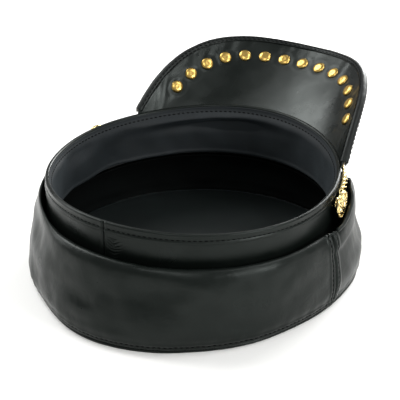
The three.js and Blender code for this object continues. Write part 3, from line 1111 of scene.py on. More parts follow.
@dataclass
class Crown:
    """The leather crown: a flat tip, two side panels with a soft roll, and seams."""

    form: CapForm
    leather: float = 1.1
    seam_gap: float = 0.0  # degrees on each side of a side seam
    side_stitch: float = 2.7  # from the side seam to each row beside it
    hem_stitch: float = 4.9  # height of the row above the tip seam
    hem_thread: float = 0.56  # the hem is sewn with the thickest thread
    tip_bead: float = 1.15

    COLUMNS: ClassVar[int] = 96  # points along a panel's profile
    ROLL_COLUMN: ClassVar[int] = 78  # where a side seam turns in over the roll

    # The panels' profile from the foot over the roll and down inside: offset and height.
    PANEL_LINE: ClassVar[Pairs] = [
        (8.6, 2.5), (10.4, 3.0), (11.6, 5.2), (12.8, 10), (12.9, 14), (12.4, 22), (11.2, 31),
        (10.0, 40), (9.1, 47.5), (8.1, 51.9), (6.3, 54.7), (4.2, 54.5), (2.8, 51.6), (2.0, 45.5),
        (1.6, 40), (1.5, 36.5),
    ]

    def surface(self, t: Array, line: Array) -> Array:
        """Gives the panels' outer face with its creases, seams and puckers.

        Args:
            t: Angles round the cap, one for each row.
            line: The profile, one offset and height for each column.

        Returns:
            The points, rows by columns.
        """
        form = self.form
        face = form.crown(t[:, None], line[None, :, 0], line[None, :, 1])
        normals = grid_normals(face)
        walked = distance_along(line)
        height = line[None, :, 1]
        arc = t[:, None] * form.mean_radius
        left = walked[-1] - walked[None, :]
        outside = smoothstep(walked[None, :], 4, 16) * (0.15 + 0.85 * smoothstep(left, 20, 36))
        outside = outside * smoothstep(left, 12, 20)
        inner_leg = smoothstep(walked[None, :], walked[-1] - 26, walked[-1] - 14)
        swell = 1.9 * ripple(face, 44, 3.1) + 1.0 * ripple(face * [1, 1, 1.5], 20, 8.4)
        swell += 0.3 * ripple(face, 9, 4.2)
        relief = swell * outside
        relief += 0.3 * ripple(face * [1, 1, 0.35], 8, 5.5) * inner_leg
        pucker = np.sin(arc / 1.55 + 2.2 * ripple(face, 30, 1.7))
        relief += 0.14 * pucker * bell(walked[None, :] - 6, 4.0)
        foot = (walked[None, :] < 15) * 1.0
        relief -= 0.55 * bell(height - self.hem_stitch, 0.75) * foot
        relief += 0.45 * bell(height - self.hem_stitch - 1.7, 0.9) * foot
        relief += 0.35 * bell(height - self.hem_stitch + 1.7, 0.9) * foot
        seam_way = form.mean_radius * np.abs(np.abs((t + BACK) % (2 * BACK) - BACK) - RIGHT_SEAM)
        seam_way = seam_way[:, None]
        relief += 0.7 * bell(seam_way - 2.0, 1.7) - 1.3 * bell(seam_way, 0.75)
        relief -= 0.45 * bell(seam_way - self.side_stitch, 0.5)
        relief += 0.3 * bell(seam_way - self.side_stitch - 1.5, 0.8)
        relief += 0.22 * ripple(face, 7, 2.6) * bell(seam_way - 6, 6) * outside
        return face + normals * relief[..., None]

    def panel(self, name: str, start: float, end: float, node: str) -> Object:
        """Builds one side panel between two angles in degrees.

        Args:
            name: The piece's name.
            start: The angle of its first side seam.
            end: The angle of its last side seam.
            node: The solid that it stands for.

        Returns:
            The dressed piece.
        """
        t = np.radians(np.linspace(start + self.seam_gap, end - self.seam_gap, 321))
        near_seams = np.radians(np.linspace(0, 5, 22))
        t = np.unique(np.concatenate([t, t[0] + near_seams, t[-1] - near_seams]))
        line = smooth_line(self.PANEL_LINE, self.COLUMNS)
        piece = build_sheet(name, self.surface(t, line), self.leather, Finish.CROWN_LEATHER)
        return dress(piece, "cap", LEATHER_SLOT, node)

    def tip(self) -> Object:
        """Builds the flat tip, with the bead where it turns up into its seam.

        Returns:
            The dressed piece.
        """
        form = self.form
        edge = form.mean_radius + form.tip_edge
        bead = [
            (edge - self.tip_bead + self.tip_bead * math.sin(a), self.tip_bead * (1 - math.cos(a)))
            for a in np.radians(np.linspace(0, 165, 10))
        ]
        flat = [(r, 0.0) for r in np.linspace(0, edge - 4, 40)]
        top = [(edge - 4, 1.3), (60.0, 1.2), (0.0, 1.2)]
        profile = np.array([*flat, *bead, *top])
        t = np.radians(np.arange(0, 360, 1.5))
        points = form.disc(t[:, None], profile[None, :, 0], profile[None, :, 1])
        faces = grid_faces(len(t), len(profile), closed=True)
        piece = build_mesh("crown_tip_leather", points, faces, Finish.CROWN_LEATHER)
        return dress(piece, "cap", LEATHER_SLOT, "crown_tip")

    def stitch_line(self, t: Array, line: Array, column: int) -> StitchRow:
        """Makes a row that runs round the cap along one column of the face."""
        face = self.surface(t, line)
        return StitchRow(face[:, column], grid_normals(face)[:, column])

    def seams(self) -> Object:
        """Sews the row above the tip seam and both rows of each side seam.

        Returns:
            The dressed piece.
        """
        line = smooth_line(self.PANEL_LINE, self.COLUMNS)
        foot = line[: self.COLUMNS // 2, 1]
        hem = int(np.argmin(np.abs(foot - self.hem_stitch)))
        rows = []
        for start, end in ((-90, 90), (90, 270)):
            t = np.radians(np.linspace(start + 1.8, end - 1.8, 400))
            rows.append(replace(self.stitch_line(t, line, hem), thread=self.hem_thread))
        span = slice(hem + 2, self.ROLL_COLUMN)
        for seam in (RIGHT_SEAM, LEFT_SEAM):
            for side in (-1, 1):
                middle = seam + side * self.side_stitch / self.form.mean_radius
                t = middle + np.radians([-0.3, 0.0, 0.3])
                face = self.surface(t, line)
                rows.append(StitchRow(face[1, span], grid_normals(face)[1, span]))
        return sew("crown_topstitching", rows)

    def build(self) -> None:
        """Builds the tip, both panels and their stitching."""
        self.tip()
        self.panel("crown_front_leather", -90, 90, "crown_front_panel")
        self.panel("crown_back_leather", 90, 270, "crown_back_panel")
        self.seams()


@dataclass
class Headband:
    """The leather band with its rolled rim, and the cloth sweatband inside it."""

    form: CapForm
    leather: float = 1.0
    inner_face: float = -4.5
    rim_radius: float = 1.35
    stitch_drop: float = 4.1  # from the rim down to the topstitching
    seam_gap: float = 0.03  # degrees on each side of the centre-back seam
    cloth: float = 0.7
    sweatband_edge: float = 38.7
    wrinkle_pitch: float = 1.9
    wrinkle_column: float = 7.8  # from the back seam to the middle of the wrinkles

    def angles(self) -> Array:
        """Gives the angles of the rows, closer together by the centre-back seam.

        Returns:
            The angles from the back seam round to itself.
        """
        end = 180 - self.seam_gap
        coarse = np.linspace(-end, end, 361)
        fine = np.linspace(158, end, 130)
        start = np.linspace(-end, -174, 24)
        return np.radians(np.unique(np.concatenate([coarse, fine, start])))

    def profile(self) -> Array:
        """Gives the band's outer face from the crown seam over the rolled rim.

        Returns:
            Offset and height pairs.
        """
        top = self.form.rim_height
        radius = self.rim_radius
        wall = [(0.0, z) for z in np.linspace(self.form.band_seam + 0.4, top - 2.2 * radius, 84)]
        arc = [
            (radius * (math.cos(a) - 1), top - radius * (1 - math.sin(a)))
            for a in np.linspace(-0.3, math.pi + 0.05, 18)
        ]
        return np.array([*wall, *arc])

    def surface(self, t: Array, line: Array) -> Array:
        """Gives the band's face with its stitch groove, seam and wrinkles.

        Args:
            t: Angles, one for each row.
            line: The profile, one offset and height for each column.

        Returns:
            The points, rows by columns.
        """
        form = self.form
        face = form.band(t[:, None], line[None, :, 0], line[None, :, 1])
        normals = grid_normals(face)
        height = line[None, :, 1]
        outer = (line[None, :, 0] > -0.6) * 1.0
        drop = form.rim_height - height
        relief = 0.4 * ripple(face, 34, 6.2) * smoothstep(drop, 3, 12) * outer
        relief += 0.12 * ripple(face, 9, 4.4) * smoothstep(drop, 1, 6) * outer
        relief -= 0.4 * bell(drop - self.stitch_drop, 0.55) * outer
        relief += 0.25 * bell(drop - self.stitch_drop - 1.5, 0.8) * outer
        relief -= 0.3 * bell(drop - 2.7, 0.35) * outer
        puckers = ripple(face * [1, 1, 0.2], 3.2, 9.9)
        relief += 0.1 * puckers * bell(drop - self.stitch_drop, 2.6) * outer
        from_back = form.mean_radius * np.abs((t % (2 * BACK)) - BACK)[:, None]
        relief -= 0.75 * bell(from_back, 0.7) * outer
        relief += 0.2 * bell(from_back - 1.8, 1.2) * outer
        relief += self.wrinkles(face, form.mean_radius * (BACK - t)[:, None], drop) * outer
        return face + normals * relief[..., None]

    def wrinkles(self, face: Array, way: Array, drop: Array) -> Array:
        """Gives the stacked creases of leather that was bunched when sewn.

        Args:
            face: The band's points.
            way: How far each row is to the right of the back seam.
            drop: How far each column is below the rim.

        Returns:
            Heights, which are zero away from the creases.
        """
        column = np.abs(way - self.wrinkle_column)
        turns = (drop + 0.42 * column + 1.1 * ripple(face, 5, 7.7)) / self.wrinkle_pitch
        crests = np.sin(2 * math.pi * turns)
        crests = crests - 0.4 * crests**2
        near = bell(way - self.wrinkle_column, 4.2) * smoothstep(drop, 6, 10)
        low = 0.7 * bell(way - 15, 9) * smoothstep(drop, 17, 24) * (way > 0)
        patchy = 0.65 + 0.6 * ripple(face, 8, 5.1)
        return 0.42 * crests * np.maximum(near, low) * patchy

    def band(self) -> Object:
        """Builds the leather band.

        Returns:
            The dressed piece.
        """
        face = self.surface(self.angles(), self.profile())
        piece = build_sheet("headband_leather", face, self.leather, Finish.BAND_LEATHER)
        return dress(piece, "cap", LEATHER_SLOT, "headband")

    def sweatband_face(self, t: Array, z: Array) -> Array:
        """Gives the cloth's inner face: sewn under the rim, slack below it.

        Args:
            t: Angles round the cap, one for each row.
            z: Heights before the rim's rise and fall, one for each column.

        Returns:
            The points, rows by columns.
        """
        form = self.form
        drop = form.rim_height - z[None, :]
        plain = form.band(t[:, None], self.inner_face, z[None, :])
        slack = smoothstep(drop, 2.5, 9)
        wave = 2.3 * ripple(plain * [1, 1, 1.7], 38, 2.3) + 0.8 * ripple(plain, 15, 6.1)
        front = np.degrees(t)[:, None]
        fold = 4.2 * bell(drop - 6.5, 3.6) - 2.4 * bell(drop - 13.0, 3.4)
        fold = fold * bell(front + 26, 24)
        left = 1.6 * bell(front + 92, 10) - 1.2 * bell(front + 75, 8)
        swing = wave + fold * 1.1 + left * smoothstep(drop, 8, 18)
        inward = np.clip(swing * slack + 0.5, -0.9, 4.0)
        hem = 0.55 * bell(z[None, :] - self.sweatband_edge - 1.0, 1.1)
        lean = self.inner_face + 1.45 - 1.45 * smoothstep(drop, 1.2, 8)
        return form.band(t[:, None], lean - (inward + hem) * smoothstep(drop, 2, 6), z[None, :])

    def sweatband(self) -> Object:
        """Builds the cloth sweatband with its turned-up hem.

        Returns:
            The dressed piece.
        """
        t = np.radians(np.linspace(-180 + self.seam_gap, 180 - self.seam_gap, 361))
        z = np.linspace(self.sweatband_edge, self.form.rim_height - 1.2, 64)
        face = self.sweatband_face(t, z)
        uv = np.stack(np.broadcast_arrays(t[:, None] * self.form.mean_radius, z[None, :]), -1)
        inward = -grid_normals(face)
        piece = build_sheet("sweatband_cloth", face, self.cloth, Finish.TWILL, inward, uv)
        return dress(piece, "cap", "sweatband", "sweatband")

    def seams(self) -> Object:
        """Sews the row below the rim, and its other side inside the opening.

        Returns:
            The dressed piece.
        """
        t = np.radians(np.linspace(-179.2, 179.2, 900))
        line = self.profile()
        outer = line[:, 0] > -0.6
        drop = np.where(outer, self.form.rim_height - line[:, 1], 99.0)
        column = int(np.argmin(np.abs(drop - self.stitch_drop)))
        face = self.surface(t, line)
        rows = [StitchRow(face[:, column], grid_normals(face)[:, column])]
        low = self.form.rim_height - self.stitch_drop
        inside = self.sweatband_face(t, np.array([low - 0.2, low, low + 0.2]))
        rows.append(StitchRow(inside[:, 1], -grid_normals(inside)[:, 1]))
        return sew("rim_topstitching", rows)

    def build(self) -> None:
        """Builds the band, the sweatband and the rim's stitching."""
        self.band()
        self.sweatband()
        self.seams()
        for name in ("headband_stiffener", "tip_interlining"):
            paint_node(name, Finish.BUCKRAM)


@dataclass
class Lining:
    """The dark cloth lining: a gathered side wall and a flat tip."""

    form: CapForm
    cloth: float = 0.5
    floor: float = 3.0
    tip_radius: float = 102.3

    # The wall's profile from the tip up to the band: offset and height.
    WALL_LINE: ClassVar[Pairs] = [
        (8.2, 3.7), (9.9, 9), (10.1, 16), (8.3, 25), (4.0, 31.5), (-1.9, 35.1),
    ]

    def wall(self) -> Object:
        """Builds the side wall, whose folds fall towards the inside.

        Returns:
            The dressed piece.
        """
        form = self.form
        t = np.radians(np.linspace(-179.88, 179.88, 420))
        line = smooth_line(self.WALL_LINE, 48)
        base = form.crown(t[:, None], line[None, :, 0], line[None, :, 1])
        share = np.linspace(0, 1, len(line))[None, :]
        slack = smoothstep(share, 0, 0.25) * smoothstep(1 - share, 0, 0.25)
        folds = ripple(base * [1, 1, 0.25], 15, 4.9) + 0.6 * ripple(base, 30, 1.2)
        gathers = 0.25 * ripple(base * [1, 1, 0.1], 4, 3.3) * bell(1 - share, 0.2)
        depth = 1.5 * (folds + 0.9) * slack + np.abs(gathers)
        face = base + grid_normals(base) * -(self.cloth + depth[..., None])
        uv = np.stack(np.broadcast_arrays(t[:, None] * form.mean_radius, 60 * share), -1)
        inward = -grid_normals(face)
        # The wall takes the darker copy of the satin, painted shade.
        piece = build_sheet("lining_wall", face, self.cloth, Finish.SHADE_SATIN, inward, uv)
        return dress(piece, "cap", "lining", "lining_side")

    def tip(self) -> Object:
        """Builds the flat tip lining, lying in low soft waves.

        Returns:
            The dressed piece.
        """
        form = self.form
        t = np.radians(np.arange(0, 360, 1.5))
        radius = np.concatenate([[0.02], np.linspace(2, self.tip_radius, 56)])
        top = form.disc(t[:, None], radius[None, :], self.floor + self.cloth)
        slack = 1 - smoothstep(radius[None, :], 88, self.tip_radius)
        wave = 1.1 * ripple(top, 48, 6.6) + 0.35 * ripple(top, 16, 2.2) + 0.75
        top[..., 2] += np.maximum(wave, 0) * slack * smoothstep(radius[None, :], 0, 6)
        bottom = form.disc(t[:, None], radius[None, ::-1], self.floor)
        points = np.concatenate([top, bottom], 1)
        faces = grid_faces(len(t), points.shape[1], closed=True)
        uv = points.reshape(-1, 3)[:, :2]
        piece = build_mesh("lining_floor", points, faces, Finish.SATIN, uv)
        return dress(piece, "cap", "lining", "lining_tip")

    def build(self) -> None:
        """Builds the wall and the tip of the lining."""
        self.wall()
        self.tip()


@dataclass
class Visor:
    """The visor: two leather covers on a board, bound at the edge and riveted."""

    form: CapForm
    cover: float = 0.8
    board_depth: float = 1.1
    thickness: float = 3.4
    root_gap: float = 0.5
    root_tuck: float = -1.8  # the near cover runs in under the rolled rim
    trim: float = 0.9  # from the visor's edge in to the covers' edge
    tape_width: float = 4.6
    tape_leather: float = 0.7
    rivet_count: int = 14
    rivet_pitch: float = 14.25
    rivet_inset: float = 16.9
    row_shift: float = -3.4
    rivet_cap: float = 4.3
    rivet_dome: float = 4.5

    def rivets(self) -> Array:
        """Gives each rivet's place along and out from the root, left to right.

        Returns:
            One row for each rivet.
        """
        share = np.linspace(0.97, 0.03, 4001)
        along, out = self.form.outline(share, self.rivet_inset)
        line = self.form.visor_face(along, out)
        walked = distance_along(line)
        middle = walked[2000] + self.row_shift
        places = np.arange(self.rivet_count) - (self.rivet_count - 1) / 2
        wanted = middle + self.rivet_pitch * places
        return np.stack([np.interp(wanted, walked, along), np.interp(wanted, walked, out)], -1)

    def relief(self, along: Array, out: Array, points: Array, seed: float) -> Array:
        """Gives the covers' height above their plain surface.

        Args:
            along: The place along the visor's root.
            out: The distance out from the root.
            points: The same places on the visor's face.
            seed: Moves the pattern, so that the covers differ.

        Returns:
            The height at each place.
        """
        height = 0.35 * ripple(points, 30, seed) + 0.08 * ripple(points, 9, seed + 4)
        height = height * smoothstep(out, 1, 8)
        row = smoothstep(self.edge_way(along, out), -12, -7)
        height += 0.6 * ripple(np.stack([along, 0.2 * out, 0 * out], -1), 5.5, seed) * row
        for rivet_along, rivet_out in self.rivets():
            way = np.hypot(along - rivet_along, out - rivet_out)
            height += 0.22 * bell(way - 6.4, 1.6) - 0.45 * bell(way, 4.9)
        return height

    def cover_sheet(self, name: str, near: float, side: int, node: str) -> Object:
        """Builds one leather cover.

        Args:
            name: The piece's name.
            near: The depth of the cover's visible face.
            side: 1 for the face on the wearer's side, -1 for the other.
            node: The solid that it stands for.

        Returns:
            The dressed cover.
        """
        form = self.form
        share = np.linspace(0, 1, 221)
        edge_along, edge_out = form.outline(share, self.trim)
        rows = np.linspace(0, 1, 64)[None, :]
        root = self.root_tuck if side > 0 else self.root_gap
        out = root + rows * (np.maximum(edge_out, self.root_gap + 1.5)[:, None] - root)
        along = np.broadcast_to(edge_along[:, None], out.shape)
        plain = form.visor(along, out, near)
        normals = form.visor_normal(along, out) * side
        relief = np.maximum(self.relief(along, out, plain, 3.0 + side), -0.12)
        press = smoothstep(self.edge_way(along, out), self.tape_width + 1.5, self.tape_width - 1.0)
        face = plain + normals * (relief * press)[..., None]
        piece = build_sheet(name, face, self.cover, Finish.VISOR_LEATHER, normals)
        return dress(piece, "cap", LEATHER_SLOT, node)

    def edge_way(self, along: Array, out: Array) -> Array:
        """Gives how near each place is to the visor's edge.

        Args:
            along: The place along the visor's root.
            out: The distance out from the root.

        Returns:
            Twice the tape's width less the distance to the edge, so it is most at
            the edge and below zero well inside.
        """
        edge_along, edge_out = self.form.outline(np.linspace(0, 1, 400)[::4], 0.0)
        way = np.full(along.shape, np.inf)
        for a, o in zip(edge_along, edge_out):
            way = np.minimum(way, np.hypot(along - a, out - o))
        return 2 * self.tape_width - way

    def tape_profile(self) -> Array:
        """Gives the tape's section as inset and depth pairs, all the way round.

        Returns:
            The pairs in order.
        """
        leather = self.tape_leather
        near, far = -0.3 - leather, self.thickness + 0.3 + leather
        middle, half = (near + far) / 2, (far - near) / 2
        nose = [
            (half * (1 - math.cos(a)) * 0.9, middle - half * math.sin(a))
            for a in np.radians(np.linspace(72, -72, 17))
        ]
        start = [(self.tape_width, near + 0.35), (self.tape_width - 0.35, near + 0.05), (3.2, near)]
        finish = [(3.2, far), (self.tape_width - 0.35, far - 0.05), (self.tape_width, far - 0.35)]
        inside = [
            (self.tape_width, far - leather), (1.4, far - leather), (0.8, middle),
            (1.4, near + leather), (self.tape_width, near + leather),
        ]
        return np.array([*start, *nose, *finish, *inside])

    def tape_grid(self, section: Array, shares: Array) -> Array:
        """Sweeps a section along the visor's edge.

        Args:
            section: Inset and depth pairs.
            shares: Where along the edge each row is, from 0 to 1.

        Returns:
            The points, rows by columns.
        """
        grid = []
        for inset, depth in section:
            along, out = self.form.outline(shares, inset)
            grid.append(self.form.visor(along, np.maximum(out, self.root_gap), depth))
        return np.stack(grid, 1)

    def tape(self) -> Object:
        """Builds the binding tape, slightly crimped by its stitching.

        Returns:
            The dressed piece.
        """
        section = self.tape_profile()
        shares = np.linspace(0, 1, 321)
        points = self.tape_grid(section, shares)
        centre = points.mean(1, keepdims=True)
        away = unit(points - centre)
        crimp = 0.11 * ripple(points, 3.4, 5.0) + 0.12 * ripple(points, 11, 2.0)
        points = points + away * crimp[..., None]
        rows, columns = points.shape[:2]
        looped = np.concatenate([points, points[:, :1]], 1)
        faces = [tuple(f) for f in grid_faces(rows, columns + 1)]
        faces.append(tuple(range(columns)))
        last = (rows - 1) * (columns + 1)
        faces.append(tuple(last + n for n in reversed(range(columns))))
        piece = build_mesh("visor_binding_tape", looped, faces, Finish.TAPE_LEATHER)
        return dress(piece, "cap", "binding_leather", "visor_edge_binding")

    def seams(self) -> Object:
        """Sews the two rows of the binding, seen on both faces of the visor.

        Returns:
            The dressed piece.
        """
        shares = np.linspace(0.012, 0.988, 700)
        near, far = -0.3 - self.tape_leather, self.thickness + 0.3 + self.tape_leather
        rows = []
        for inset in (2.1, 3.7):
            along, out = self.form.outline(shares, inset)
            out = np.maximum(out, self.root_gap)
            normals = self.form.visor_normal(along, out)
            rows.append(StitchRow(self.form.visor(along, out, near), normals, thread=0.32))
            rows.append(StitchRow(self.form.visor(along, out, far), -normals, thread=0.32))
        return sew("visor_binding_stitching", rows)

    def rivet_profile(self) -> Array:
        """Gives a rivet's profile: dimpled cap, shank and domed cap.

        Returns:
            Radius and height pairs.
        """
        cap, dome, far = self.rivet_cap, self.rivet_dome, -self.thickness - 0.1
        dimple = [(0.0, 1.46), (0.5, 1.47), (0.9, 1.5), (1.5, 1.52), (2.1, 1.47), (2.7, 1.34)]
        lip = [(3.3, 1.14), (3.75, 0.88), (4.08, 0.6), (cap, 0.3), (cap, 0.12)]
        shank = [(cap - 0.3, 0.1), (1.5, 0.1), (1.5, far)]
        hood = [
            (dome * math.cos(a), far - 0.35 - 2.15 * math.sin(a))
            for a in np.linspace(0, math.pi / 2, 10)
        ]
        return np.array([*dimple, *lip, *shank, (dome - 0.2, far), *hood])

    def rivet(self, number: int, along: float, out: float) -> Object:
        """Builds one rivet at its place on the visor.

        Args:
            number: Its number from the left, from 1.
            along: The place along the visor's root.
            out: The distance out from the root.

        Returns:
            The dressed piece.
        """
        points, faces = build_turned(self.rivet_profile(), 28)
        seat = self.form.visor_face(along, out)
        axes = axes_along(self.form.visor_normal(np.float64(along), np.float64(out)))
        piece = build_mesh(f"rivet_{number:02d}", points @ axes + seat, faces, Finish.BRASS)
        return dress(piece, "cap", "brass", f"visor_rivet_{number:02d}")

    def build(self) -> None:
        """Builds the covers, the binding and its stitches, and the rivets."""
        self.cover_sheet("visor_under_leather", 0.0, 1, "visor_under_cover")
        self.cover_sheet("visor_outer_leather", self.thickness, -1, "visor_top_cover")
        paint_node("visor_board", Finish.FIBREBOARD)
        self.tape()
        self.seams()
        for number, (along, out) in enumerate(self.rivets(), start=1):
            self.rivet(number, along, out)


@dataclass
class SideButton:
    """A stamped round button with a plain rosette, on a shank through the band."""

    form: CapForm
    side: int
    radius: float = 8.9
    standoff: float = 3.8
    thickness: float = 4.0
    shank: float = 1.7
    shank_end: float = -3.4
    petals: int = 8
    beads: int = 28

    def head(self) -> Mesh:
        """Builds the head's disc and shank.

        Returns:
            The points and quads.
        """
        back, r = self.standoff, self.radius
        profile = [
            (0.0, self.shank_end), (self.shank, self.shank_end), (self.shank, back),
            (r - 1.0, back), (r - 0.3, back + 0.25), (r, back + 0.8), (r - 0.15, back + 1.5),
            (r - 0.7, back + 1.9), (r - 1.3, back + 1.75), (r - 1.7, back + 1.25),
            (r - 2.2, back + 1.15), (r - 3.0, back + 1.5), (4.0, back + 1.7), (0.0, back + 1.8),
        ]
        return build_turned(np.array(profile), 48)

    def petal(self, turn: float) -> Mesh:
        """Builds one raised petal with a crease down its middle.

        Args:
            turn: The petal's angle round the button.

        Returns:
            The points and quads.
        """
        u = np.linspace(0, 1, 15)[:, None]
        v = np.linspace(-1, 1, 13)[None, :]
        reach = 1.5 + u * (self.radius - 3.7)
        half = 2.15 * np.sin(np.clip(u * 1.06, 0, 1) ** 0.75 * math.pi) ** 0.6 + 0.05
        lift = 1.55 * np.sin(u * math.pi * 0.9 + 0.15) ** 0.7 * (1 - np.abs(v) ** 2.2)
        lift = lift - 0.5 * bell(v, 0.22) * np.sin(u * math.pi)
        across = half * v
        x = reach * math.cos(turn) - across * math.sin(turn)
        y = reach * math.sin(turn) + across * math.cos(turn)
        z = self.standoff + 1.4 + lift
        face = np.stack(np.broadcast_arrays(x, y, z), -1)
        back = face * [1, 1, 0] + [0, 0, self.standoff + 1.2]
        points = np.concatenate([face, back]).reshape(-1, 3)
        return points, sheet_faces(*face.shape[:2])

    def bead(self, reach: float, turn: float, radius: float, height: float) -> Mesh:
        """Builds one bead of the rim, or the boss in the middle.

        Args:
            reach: The distance from the button's middle.
            turn: The angle round the button.
            radius: The bead's radius.
            height: Its middle's height above the band.

        Returns:
            The points and quads.
        """
        angles = np.linspace(0, math.pi, 8)
        profile = np.stack([radius * np.sin(angles), -radius * np.cos(angles)], -1)
        points, faces = build_turned(profile, 12)
        centre = [reach * math.cos(turn), reach * math.sin(turn), height]
        return points + centre, faces

    def build(self) -> None:
        """Builds the button, turned so that the gap between two petals points up."""
        name = "left" if self.side < 0 else "right"
        parts = [self.head()]
        for k in range(self.petals):
            parts.append(self.petal(2 * math.pi * (k + 0.5) / self.petals))
        for k in range(self.beads):
            turn = 2 * math.pi * k / self.beads
            parts.append(self.bead(self.radius - 1.0, turn, 0.62, self.standoff + 1.95))
        parts.append(self.bead(0.0, 0.0, 1.75, self.standoff + 2.2))
        points, faces = join_parts(parts)
        seat, axis = self.form.button_seat(self.side)
        placed = points @ axes_along(axis) + seat
        piece = build_mesh(f"rosette_button_{name}", placed, faces, Finish.GOLD)
        dress(piece, f"{name}_button", "gold", f"side_button_{name}")
        paint_node(f"button_washer_{name}", Finish.BRASS)


@dataclass
class Chain:
    """A gold curb chain round the front of the band, hung on two rings."""

    form: CapForm
    offset: float = 2.3
    end_offset: float = 2.7
    below_rim: float = 6.0
    end_angle: float = 74.6
    pitch: float = 5.3
    half_length: float = 3.95
    half_width: float = 2.2
    wire: float = 0.7
    twist: float = 0.75
    end_lean: float = 25.0  # degrees that the links turn over beside the buttons
    ring_radius: float = 3.3
    ring_wire: float = 0.8

    def route(self) -> Array:
        """Gives the chain's line from the left ring to the right one.

        Returns:
            The line's points, one row each.
        """
        t = np.radians(np.linspace(-self.end_angle, self.end_angle, 600))
        level = self.form.rim_height + self.form.rim_lift(t) - self.below_rim
        away = self.offset + (self.end_offset - self.offset) * self.by_button(t)
        return self.form.oval(t, away, level)

    def by_button(self, t: Values) -> Values:
        """Gives 1 beside the buttons and 0 round the front."""
        return smoothstep(np.abs(np.degrees(t)), 44, 60)

    def link(self, centre: Array, along: Array, outward: Array) -> Mesh:
        """Builds one twisted link.

        Args:
            centre: The middle of the link.
            along: The direction of the chain.
            outward: The direction away from the band.

        Returns:
            The link's points and quads.
        """
        width = np.cross(outward, along)
        turns = full_turn(20)
        line = (
            centre
            + np.outer(self.half_length * np.cos(turns), along)
            + np.outer(self.half_width * np.sin(turns), width)
            + np.outer(self.twist * np.sin(2 * turns), outward)
        )
        return build_loop(line, self.wire, 8)

    def links(self) -> Object:
        """Builds all the links as one piece.

        Returns:
            The dressed piece.
        """
        route = self.route()
        walked = distance_along(route)
        count = int((walked[-1] - 2 * self.half_length) // self.pitch) + 1
        spare = walked[-1] - (count - 1) * self.pitch
        parts = []
        for k in range(count):
            walk = spare / 2 + k * self.pitch
            places = [walk - 1.0, walk, walk + 1.0]
            near = np.stack([np.interp(places, walked, route[:, k]) for k in range(3)], -1)
            before, centre, after = near
            along = unit(after - before)
            outward = unit(np.cross(along, UP))
            if np.dot(outward, centre * [1, 1, 0]) < 0:
                outward = -outward
            angle = math.atan2(centre[0], centre[1])
            lean = math.radians(self.end_lean) * float(self.by_button(angle))
            outward = unit(math.cos(lean) * outward + math.sin(lean) * UP)
            parts.append(self.link(centre, along, outward))
        points, faces = join_parts(parts)
        piece = build_mesh("curb_chain", points, faces, Finish.GOLD)
        return dress(piece, "chain", "gold", "chain")

    def end_ring(self, side: int, name: str) -> Object:
        """Builds the ring that hangs on one button's shank.

        Args:
            side: -1 for the left button, 1 for the right one.
            name: The side in words.

        Returns:
            The dressed piece.
        """
        turns = full_turn(40)
        circle = self.ring_radius * np.stack([np.cos(turns), np.sin(turns), 0 * turns], -1)
        points, faces = build_loop(circle, self.ring_wire, 12)
        seat, axis = self.form.button_seat(side)
        points = points @ axes_along(axis) + seat + axis * 1.9
        piece = build_mesh(f"end_ring_{name}", points, faces, Finish.GOLD)
        return dress(piece, "chain", "gold", f"chain_ring_{name}")

    def build(self) -> None:
        """Builds the links and both rings."""
        self.links()
        self.end_ring(-1, "left")
        self.end_ring(1, "right")


def paint_node(node: str, finish: Finish) -> None:
    """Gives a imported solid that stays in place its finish.

    Args:
        node: The solid's name.
        finish: What it is made of.
    """
    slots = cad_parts[node].material_slots
    for slot in slots:
        slot.material = finish.material()
    log.info("%s keeps its packed shape", node)


# ---------------------------------------------------------------------- studio


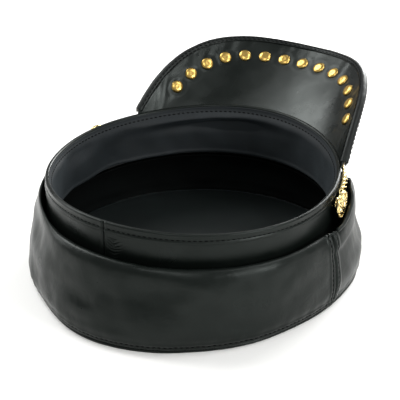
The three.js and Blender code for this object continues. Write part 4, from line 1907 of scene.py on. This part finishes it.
@dataclass
class Studio:
    """A pale floor, soft lights and the camera, in metres."""

    azimuth: float = 33.0
    elevation: float = 26.6
    distance: float = 0.900
    lens: float = 124.65
    aim_height: float = 0.040
    aim_right: float = 0.00325
    aim_up: float = 0.0055
    floor_colour: str = "#f7f7f5"
    floor_painted_glow: float = 0.1  # the paper glows by itself: painted light that pales the cap's shadow on it
    fill: float = 0.36  # brightness of the air all round

    # Each soft light's name and place, its size in metres and its power in watts.
    SOFTBOXES: ClassVar[list[tuple[str, tuple[float, float, float], float, float]]] = [
        ("high_left", (-0.88, 0.0, 1.05), 0.7, 11.0),
        ("high_right", (0.8, 0.35, 1.2), 0.6, 5.5),
        ("left", (-1.2, -0.35, 0.5), 0.5, 4.0),
        ("right", (1.15, -0.14, 0.5), 0.4, 6.5),
        ("back", (0.0, 1.4, 0.6), 0.8, 28.0),
        ("near", (0.35, -0.9, 1.25), 0.45, 4.4),
    ]

    def view_axes(self) -> tuple[Vector, Vector, Vector]:
        """Gives the camera's right, up and back directions.

        Returns:
            Three unit vectors.
        """
        a, e = math.radians(self.azimuth), math.radians(self.elevation)
        back = Vector((math.sin(a) * math.cos(e), -math.cos(a) * math.cos(e), math.sin(e)))
        right = Vector((math.cos(a), math.sin(a), 0.0))
        return right, back.cross(right), back

    def camera(self) -> None:
        """Sets up the camera and makes it the scene's."""
        right, up, back = self.view_axes()
        target = Vector((0, 0, self.aim_height)) + right * self.aim_right + up * self.aim_up
        data = bpy.data.cameras.new("studio_camera")
        data.lens = self.lens
        data.sensor_width = 36.0
        data.clip_end = 20.0
        camera = bpy.data.objects.new("studio_camera", data)
        camera.location = target + back * self.distance
        camera.rotation_mode = "QUATERNION"
        camera.rotation_quaternion = (-back).to_track_quat("-Z", "Y")
        bpy.context.scene.collection.objects.link(camera)
        bpy.context.scene.camera = camera

    def floor(self) -> None:
        """Lays the pale floor under the cap."""
        material, output = new_material("studio_paper")
        place = add_node(material, "TexCoord").outputs["Object"]
        fibre = add_node(
            material, "TexNoise", {"Scale": 300.0, "Detail": 2.0}, {"Vector": place}
        )
        bump = add_node(
            material, "Bump", {"Strength": 0.05, "Distance": 0.05 * MM},
            {"Height": fibre.outputs["Fac"]},
        )
        shader = add_node(
            material, "BsdfPrincipled",
            {
                "Base Color": linear(self.floor_colour),
                "Roughness": 0.8,
                # The paper's own glow is painted light: it pales the cap's shadow on the floor.
                "Emission Color": linear(self.floor_colour),
                "Emission Strength": self.floor_painted_glow,
            },
            {"Normal": bump.outputs["Normal"]},
        )
        material.node_tree.links.new(shader.outputs["BSDF"], output.inputs["Surface"])
        half = 3.0
        mesh = bpy.data.meshes.new("studio_floor")
        corners = [(-half, -half, 0), (half, -half, 0), (half, half, 0), (-half, half, 0)]
        mesh.from_pydata(corners, [], [(0, 1, 2, 3)])
        mesh.materials.append(material)
        floor = bpy.data.objects.new("studio_floor", mesh)
        bpy.context.scene.collection.objects.link(floor)

    def softbox(self, name: str, place: Vector, size: float, power: float) -> None:
        """Hangs a square soft light that faces the cap.

        Args:
            name: The light's name.
            place: Where it hangs.
            size: Its side.
            power: Its power in watts.
        """
        data = bpy.data.lights.new(name, "AREA")
        data.shape = "SQUARE"
        data.size = size
        data.energy = power
        light = bpy.data.objects.new(name, data)
        light.location = place
        aim = Vector((0, 0, self.aim_height)) - place
        light.rotation_mode = "QUATERNION"
        light.rotation_quaternion = aim.to_track_quat("-Z", "Y")
        bpy.context.scene.collection.objects.link(light)

    def build(self) -> None:
        """Sets up the world, the lights, the floor and the camera."""
        world = bpy.data.worlds.new("studio_air")
        world.use_nodes = True
        air = world.node_tree.nodes["Background"]
        air.inputs["Color"].default_value = (1.0, 1.0, 1.0, 1.0)
        air.inputs["Strength"].default_value = self.fill
        bpy.context.scene.world = world
        bpy.context.scene.view_settings.view_transform = "Standard"
        self.floor()
        for name, place, size, power in self.SOFTBOXES:
            self.softbox(f"{name}_softbox", Vector(place), size, power)
        self.camera()


def main() -> None:
    """Builds the cap piece by piece, then the studio round it."""
    logging.basicConfig(level=logging.INFO, format="%(name)s: %(message)s")
    form = CapForm.from_frame()
    builders = [
        Crown(form), Headband(form), Lining(form), Visor(form),
        SideButton(form, -1), SideButton(form, 1), Chain(form), Studio(),
    ]
    for builder in builders:
        builder.build()
        log.info("%s built", type(builder).__name__)


if __name__ == "__main__":
    main()
